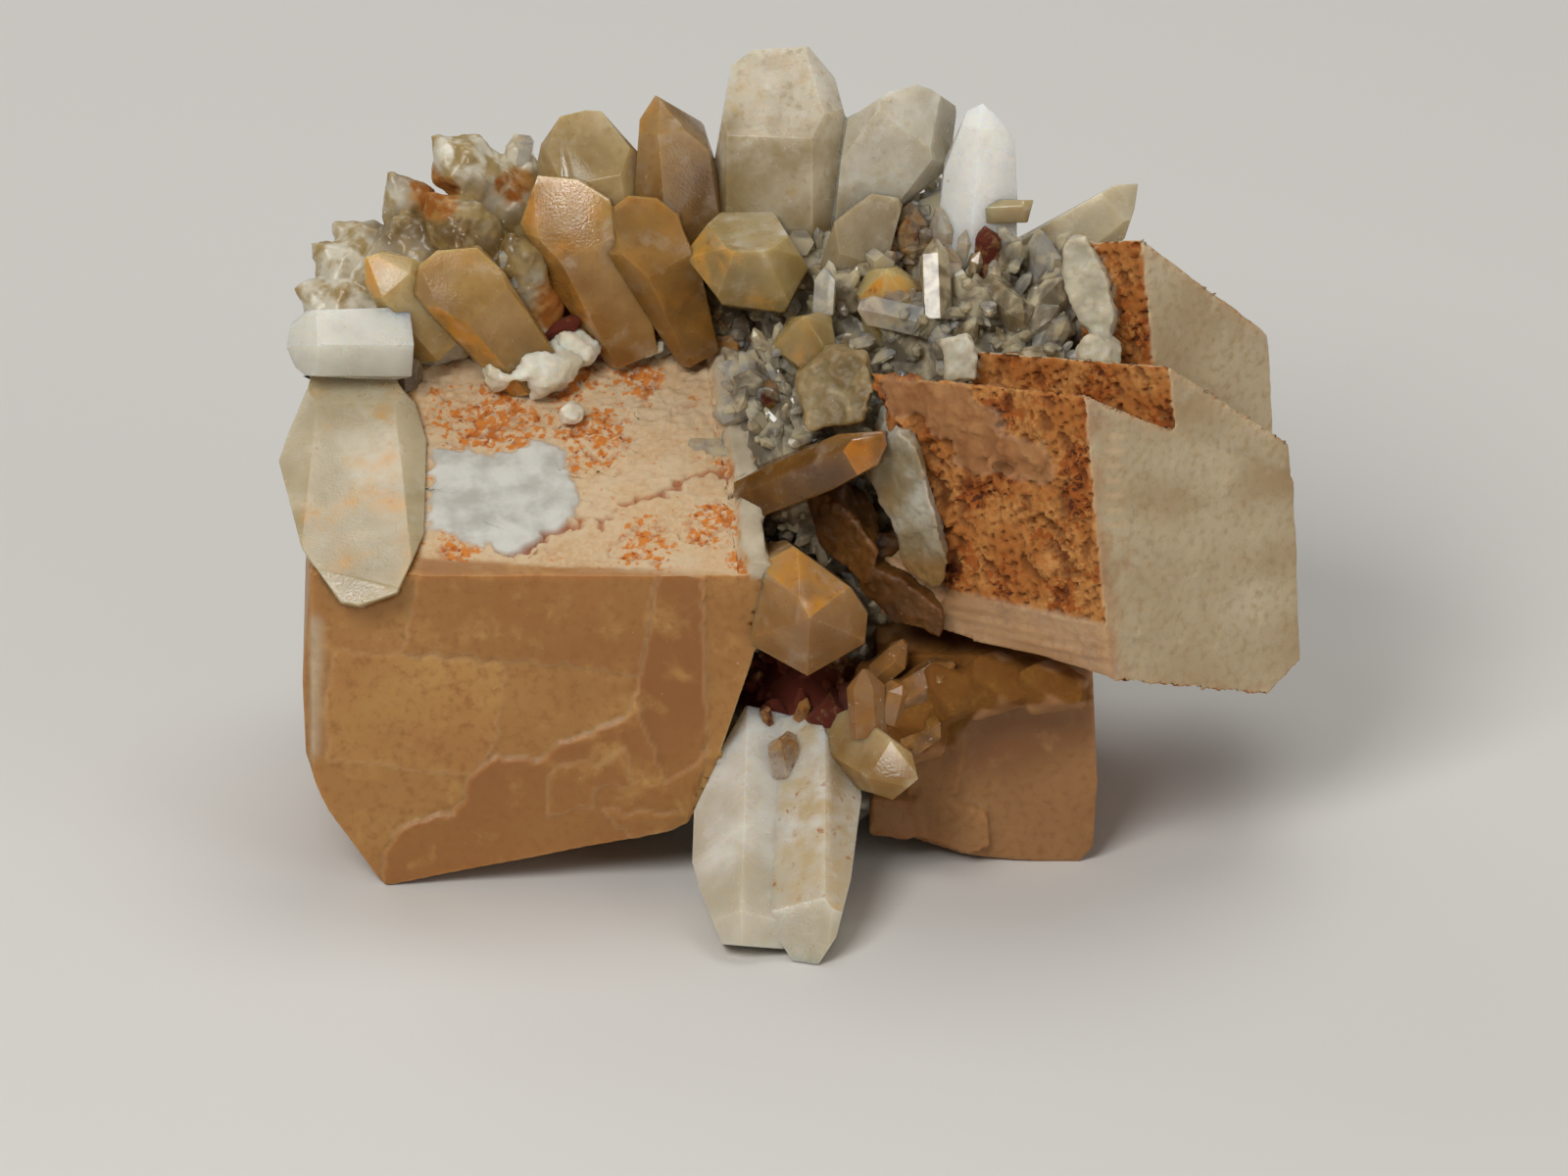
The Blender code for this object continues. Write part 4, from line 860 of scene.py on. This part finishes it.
# Each plate: how proud it is in millimetres, its tint, its outline
FRONT_PLATES = [
    (0.35, 0.3, [
        (-36.4, 3.6), (-23.2, 2.8), (-12.7, 2.2), (-13.1, -2.0), (-14.0, -5.0), (-14.8, -9.0),
        (-20.0, -8.0), (-30.0, -7.2), (-38.8, -6.6), (-38.0, -3.0), (-37.4, 0.0),
    ]),
    (0.15, -0.25, [
        (-45.5, -6.4), (-37.0, -7.0), (-28.3, -8.0), (-28.8, -12.0), (-29.3, -15.8), (-31.0, -18.0),
        (-32.0, -19.0), (-37.0, -18.6), (-42.5, -17.7), (-46.2, -17.4), (-46.6, -12.0),
    ]),
    (0.6, 0.45, [
        (-40.9, -31.0), (-40.8, -27.6), (-40.4, -26.2), (-39.4, -24.7), (-37.0, -23.6),
        (-33.5, -23.2), (-32.5, -21.5), (-32.0, -19.0), (-31.0, -18.0), (-29.0, -17.2),
        (-25.5, -17.6), (-23.8, -17.0), (-22.8, -15.7), (-21.5, -15.3), (-19.3, -15.2),
        (-18.8, -14.2), (-16.0, -13.5), (-15.2, -11.5), (-14.6, -9.0), (-13.2, -2.0),
        (-12.7, 2.2), (-8.2, 1.6), (-7.8, -16.0), (-10.0, -25.0), (-24.0, -27.0),
    ]),
    (0.2, 0.0, [
        (-24.0, -19.0), (-22.5, -18.0), (-21.0, -17.5), (-19.3, -18.2), (-17.8, -17.5),
        (-16.0, -16.2), (-15.5, -20.0), (-19.3, -20.3), (-19.5, -22.2), (-24.0, -23.0),
    ]),
    (0.25, -0.1, [
        (-18.5, -22.5), (-15.0, -22.8), (-10.0, -23.0), (-11.0, -24.2), (-15.0, -25.0),
        (-17.0, -24.5),
    ]),
    (-0.25, 0.1, [
        (-13.0, 1.9), (-8.4, 1.5), (-8.0, -12.0), (-7.6, -17.0), (-12.0, -20.0), (-15.0, -12.0),
    ]),
]
places = places_of(left)
seen = seen_places(left)
flat = seen[:, :2]
on_front = 1 - ramp(places[:, 1] / MM, FRONT_DEPTH + 0.5, FRONT_DEPTH + 0.9)
height = 0.06 * wobble(flat, 6.0, 1)
tint = 0.35 + 0.15 * wobble(flat, 14.0, 2)
edge = np.zeros(len(flat))
ragged = flat + 0.18 * np.stack([wobble(flat, 1.6, 3), wobble(flat, 1.6, 4)], axis=1)
for proud, shade, outline in FRONT_PLATES:
    depth = depth_inside(ragged, outline)
    inside = ramp(depth, -0.15, 0.2)
    height += proud * inside
    tint += shade * inside
    # the pale lines along the plate edges are a painted highlight
    edge = np.maximum(edge, (1 - ramp(abs(depth), 0.05, 0.3)) * min(abs(proud), 0.14))
places[:, 1] += on_front * ((FRONT_DEPTH - height) * MM - places[:, 1])
print("vertices on the left front:", int((on_front > 0.5).sum()))

# %% [markdown]
# The top slopes back. It carries the granular crust, a chalk patch that stands a little
# proud with a ragged edge, two cracks, and a grey rim along its right side.

# %% The crusted top
LEFT_TOP = [
    (-37.5, 24.0), (-30.0, 26.5), (-10.0, 26.5), (-7.4, 24.0), (-7.2, 21.0), (-6.0, 15.7),
    (-4.9, 9.9), (-4.8, 5.3), (-3.6, 1.6), (-12.7, 2.0), (-24.0, 2.4), (-36.6, 3.2),
]
LEFT_CHALK = [
    (-35.8, 14.0), (-32.4, 14.2), (-31.4, 13.2), (-27.2, 13.6), (-25.8, 14.8), (-24.0, 14.8),
    (-22.2, 13.4), (-21.8, 12.0), (-20.9, 10.0), (-20.8, 8.1), (-22.2, 6.0), (-27.6, 4.5),
    (-30.8, 4.4), (-34.0, 5.4), (-36.0, 6.4),
]
LEFT_RIM = [
    (-7.4, 25.0), (-4.4, 23.2), (-3.0, 16.8), (-1.2, 5.3), (-1.2, 0.8), (-3.4, 1.4),
    (-4.7, 5.3), (-4.9, 9.9), (-6.0, 15.7), (-7.2, 20.7),
]
CRACKS = [
    [(-17.0, 8.6), (-12.2, 9.5), (-9.9, 11.3), (-5.1, 12.2)],
    [(-28.3, 4.4), (-22.3, 5.8), (-20.5, 7.2), (-18.2, 6.7)],
]
THICK_GRAINS = [
    (-30.0, 17.0, 8.0), (-19.5, 15.5, 5.5), (-22.0, 21.0, 5.0), (-15.0, 21.5, 4.0), (-33.0, 4.0, 3.0),
    (-6.2, 19.5, 2.0), (-5.6, 13.0, 2.0), (-7.0, 6.5, 4.0), (-4.9, 3.0, 1.6), (-14.0, 4.5, 4.0),
]
TOP_POINT = np.array((0.0, FRONT_DEPTH, 34.5)) * MM
TOP_NORMAL = np.array((0.0, -11.0, 30.0)) / math.hypot(11, 30)
off_plane = (places - TOP_POINT) @ TOP_NORMAL / MM
near_top = ramp(off_plane, -0.7, -0.4) * (1 - ramp(off_plane, 3.0, 4.0))
ragged = flat + 0.35 * np.stack([wobble(flat, 1.3, 5), wobble(flat, 1.3, 6)], axis=1)
on_top = near_top * ramp(depth_inside(flat, LEFT_TOP), -0.5, 0.2)
chalk_depth = depth_inside(ragged, LEFT_CHALK)
crack = np.zeros(len(flat))
for line in CRACKS:
    crack = np.maximum(crack, 1 - ramp(line_distance(ragged, line), 0.05, 0.4))
pits = ramp(wobble(places / MM, 1.2, 9), 0.35, 0.9) * (1 - ramp(chalk_depth, -0.4, 0.0))
level = 0.35 * ramp(chalk_depth, -0.1, 0.35) - 0.6 * crack - 0.3 * pits
level += 0.12 * wobble(flat, 5.0, 7)
places += (on_top * (level - off_plane) * MM)[:, None] * TOP_NORMAL
place_again(left, places)

chalk = on_top * ramp(chalk_depth, -0.15, 0.15)
grains = np.zeros(len(flat))
for across, up, radius in THICK_GRAINS:
    distance = np.hypot(flat[:, 0] - across, (flat[:, 1] - up) * 1.4)
    grains = np.maximum(grains, 1 - ramp(distance, radius * 0.3, radius * 1.2))
grains = np.clip(grains + 0.3 * wobble(flat, 3.0, 8), 0, 1)
rim = ramp(depth_inside(ragged, LEFT_RIM), -0.3, 0.2) * ramp(off_plane, -2.0, -1.0)
side = 1 - ramp(line_distance(flat, [(-48.2, -4.0), (-48.6, -16.0)]), 0.6, 2.2)
paint(left, "rust", on_top * (1 - chalk))
paint(left, "grains", grains)
paint(left, "chalk", chalk)
paint(left, "rim", np.maximum(rim, side * 0.7 * on_front))
paint(left, "tint", np.clip(tint, 0, 1))
paint(left, "edge", edge * on_front)
paint(left, "crack", on_top * np.maximum(crack * 0.8, pits * grains * 0.5))
fence(left, "crust", on_top * (1 - chalk))
relief(left, "CLOUDS", 1.6, 0.5, "crust")
relief(left, "CLOUDS", 0.7, 0.6, "crust")
left.data.materials.append(PEACH)
print("left rhomb faces:", len(left.data.polygons))

# %% [markdown]
# ## The right rhomb
# Only the faces that lie on the right faces' planes are clean and pale. All that looks to
# the left carries a thick brown crust full of pits, which are dark inside. Its upper part
# is a smoother brown sheet, and a paler band runs below it.

# %% The right rhomb
RUST_WAY = np.array((-0.446, -0.894, -0.039))
PALE_WAY = np.array((0.608, -0.792, 0.051))
FRONT_EDGE = np.array(in_scene(30.3, 19.5, 40.0))
BAND = [
    (8.0, 6.0), (16.3, -0.2), (32.5, -3.8), (33.5, -3.9), (33.5, -10.5), (8.0, -4.0),
]
BROWN_SHEET = [
    (10.4, 21.2), (17.5, 20.9), (19.2, 18.5), (22.3, 15.8), (25.0, 14.5), (27.2, 14.9),
    (27.0, 11.8), (23.0, 11.0), (19.3, 11.4), (16.5, 13.0), (14.8, 16.3), (10.4, 19.4),
]
right = even_skin("calcite_right", "rhomb_right", 0.33)
places = places_of(right)
flat, facing = seen_places(right)[:, :2], normals_of(right)
off_pale = (places - FRONT_EDGE) @ PALE_WAY / MM
off_rust = (places - FRONT_EDGE) @ RUST_WAY / MM
looks_left = ramp(facing @ RUST_WAY, -0.2, 0.2)
on_crust_plane = ramp(off_rust, -2.6, -1.8) * (1 - ramp(off_pale, -1.0, -0.3))
rust = np.maximum(looks_left * (1 - ramp(facing @ PALE_WAY, 0.8, 0.92)), on_crust_plane)
band = ramp(depth_inside(flat, BAND), -0.4, 0.3)
crust_here = rust * (1 - band)
fence(right, "crust", crust_here)
finish_with(right, "SMOOTH", factor=0.5, iterations=6, vertex_group="crust")
places = places_of(right)
grid = places / MM
ragged = flat + 0.8 * np.stack([wobble(flat, 3.0, 13), wobble(flat, 3.0, 14)], axis=1)
sheet = crust_here * ramp(depth_inside(ragged, BROWN_SHEET), -0.4, 0.3)
wide_pits = ramp(wobble(grid, 2.0, 15) + 0.7 * (1 - ramp(flat[:, 0], 11.0, 17.0)), 0.5, 1.1)
small_pits = ramp(wobble(grid, 0.8, 16), 0.3, 0.9)
halo = 0.35 * (1 - rust) * (1 - ramp(-off_rust + wobble(grid, 2.0, 17), 0.0, 3.0))
pits = crust_here * (1 - 0.75 * sheet) * np.clip(wide_pits + 0.7 * small_pits, 0, 1)
places -= (0.8 * pits * MM)[:, None] * RUST_WAY
fibres = np.stack([0.1 * flat[:, 0], flat[:, 1] + 0.22 * flat[:, 0]], axis=1)
places += (0.14 * band * wobble(fibres, 0.9, 18) * MM)[:, None] * facing
place_again(right, places)
relief(right, "CLOUDS", 1.4, 0.6, "crust")
relief(right, "CLOUDS", 0.5, 0.5, "crust")
fence(right, "clean", 1 - rust)
relief(right, "CLOUDS", 3.0, 0.3, "clean")
relief(right, "CLOUDS", 0.9, 0.12, "clean")

ribs = ramp(np.sin(flat[:, 1] * 4.2), 0.2, 0.9) * (1 - ramp(abs(flat[:, 0] - 33.5), 0.5, 1.2))
ribs *= ramp(flat[:, 1], 4.0, 6.0) * (1 - ramp(flat[:, 1], 15.0, 17.0)) * (1 - rust)
count = len(flat)
paint(right, "rust", np.maximum(crust_here - 0.85 * sheet, np.maximum(0.3 * band, halo)))
paint(right, "grains", 0.5 + 0.6 * wobble(flat, 5.0, 11))
paint(right, "chalk", np.zeros(count))
paint(right, "rim", np.maximum(sheet, 0.4 * band))
paint(right, "tint", 0.3 + 0.3 * wobble(flat, 9.0, 12))
paint(right, "edge", 0.5 * ribs)
paint(right, "crack", 0.55 * pits)
right.data.materials.append(PALE)
print("right rhomb crust vertices:", int((crust_here > 0.5).sum()), "of", count)

# %% The lower rhomb
lower = even_skin("calcite_lower", "rhomb_lower", 0.34)
flat = seen_places(lower)[:, :2]
for key in MASKS:
    paint(lower, key, np.zeros(len(flat)))
OLIVE_MASS = [
    (8.0, -5.5), (18.0, -5.5), (31.5, -9.5), (31.5, -11.8), (24.0, -11.5), (20.0, -12.5),
    (17.5, -15.0), (12.0, -17.5), (8.0, -16.0),
]
LEFT_STRIP = [(12.0, -15.5), (18.5, -15.0), (18.8, -20.0), (17.0, -27.0), (13.0, -27.0)]
ragged = flat + 0.6 * np.stack([wobble(flat, 2.5, 22), wobble(flat, 2.5, 23)], axis=1)
mass = ramp(depth_inside(ragged, OLIVE_MASS), -0.4, 0.4)
paint(lower, "rust", np.maximum(mass, 0.35 * ramp(depth_inside(ragged, LEFT_STRIP), -0.5, 0.5)))
paint(lower, "tint", 0.4 + 0.4 * wobble(flat, 8.0, 21))
lower.data.materials.append(PINK)

# %% Small calcite pieces
SMALL = {
    "calcite_bar": WHITE,
    "calcite_block": WHITE,
    "calcite_cream": CREAM,
    "calcite_lobe": GREY,
    "calcite_apron": BROWN,
    "chip_cream": CHALKY_PAINTED_LIGHT,
    "chip_flake": CHALKY_PAINTED_LIGHT,
    "chip_small": CHALKY_PAINTED_LIGHT,
    "chip_white": CHALKY_PAINTED_LIGHT,
}
for node, finish in SMALL.items():
    piece = even_skin(node, node.replace("calcite", "spar"), 0.25)
    finish_with(piece, "SMOOTH", factor=0.5, iterations=10)
    flat = seen_places(piece)[:, :2]
    for key in MASKS:
        paint(piece, key, np.zeros(len(flat)))
    paint(piece, "tint", 0.5 + 0.5 * wobble(flat, 5.0, 31))
    if node == "calcite_lobe":
        # The lobe's lower and left part gets the brown crust colours: part crust, part painted shade.
        low_left_crust_and_shade = 1 - ramp(flat[:, 0] + 0.1 * flat[:, 1] + wobble(flat, 3.0, 32), 9.5, 12.0)
        paint(piece, "rust", np.maximum(low_left_crust_and_shade, 1 - ramp(flat[:, 1], 2.0, 5.0)))
    fence(piece, "all_over", np.ones(len(flat)))
    relief(piece, "CLOUDS", 2.0, 0.9, "all_over")
    relief(piece, "CLOUDS", 0.7, 0.3, "all_over")
    piece.data.materials.append(finish)

# %% [markdown]
# The three small shapes were only patterns, so they are deleted.

# %% Clear the patterns away
bpy.ops.object.select_all(action="DESELECT")
for shape in SHAPES:
    shape.select_set(True)
bpy.ops.object.delete()

# %% [markdown]
# ## The table, the light and the camera

# %% Table
bpy.ops.object.select_all(action="DESELECT")
bpy.ops.mesh.primitive_plane_add(size=8.0, location=(0, 0, 0))
table = bpy.context.object
table.name = "table_top"
finish, tree, shader, place = new_finish("pale_paper")
shader.inputs["Base Color"].default_value = colour("#D9D6D0")
shader.inputs["Roughness"].default_value = 0.8
table.data.materials.append(finish)


# %% Soft studio light
def soft_light(name, place, power, size, tone="#FFFFFF"):
    """A square soft light, in metres and watts, that faces the specimen."""
    light = bpy.data.lights.new(name, "AREA")
    light.energy = power
    light.size = size
    light.color = colour(tone)[:3]
    lamp = bpy.data.objects.new(name, light)
    lamp.location = place
    lamp.rotation_euler = (Vector((0, 0, 0.03)) - Vector(place)).to_track_quat("-Z", "Y").to_euler()
    bpy.context.collection.objects.link(lamp)


soft_light("key", (-0.35, -0.7, 0.8), 7.0, 0.45)
soft_light("fill", (0.7, -0.6, 0.35), 1.6, 0.6)
soft_light("top", (0.1, 0.3, 0.9), 2.4, 0.5)
soft_light("back", (-0.5, 0.8, 0.5), 1.6, 0.6)
scene = bpy.context.scene
world = bpy.data.worlds.new("studio")
scene.world = world
world.use_nodes = True
world.node_tree.nodes["Background"].inputs["Color"].default_value = colour("#DDDDDB")
world.node_tree.nodes["Background"].inputs["Strength"].default_value = 0.22
scene.view_settings.view_transform = "Standard"

# %% Camera
FRAME_WIDTH = 160.0
CAMERA_AWAY = 4000.0
SENSOR = 36.0
camera = bpy.data.objects.new("camera", bpy.data.cameras.new("camera"))
camera.data.sensor_width = SENSOR
camera.data.lens = SENSOR * CAMERA_AWAY / FRAME_WIDTH
camera.location = SIGHT_CENTRE + TO_VIEWER * CAMERA_AWAY * MM
camera.rotation_euler = (math.pi / 2 - SIGHT_DIP, 0, 0)
bpy.context.collection.objects.link(camera)
scene.camera = camera

# %% Sizes
print("CAD box", [[round(v / MM, 2) for v in c] for c in CAD_BOX])
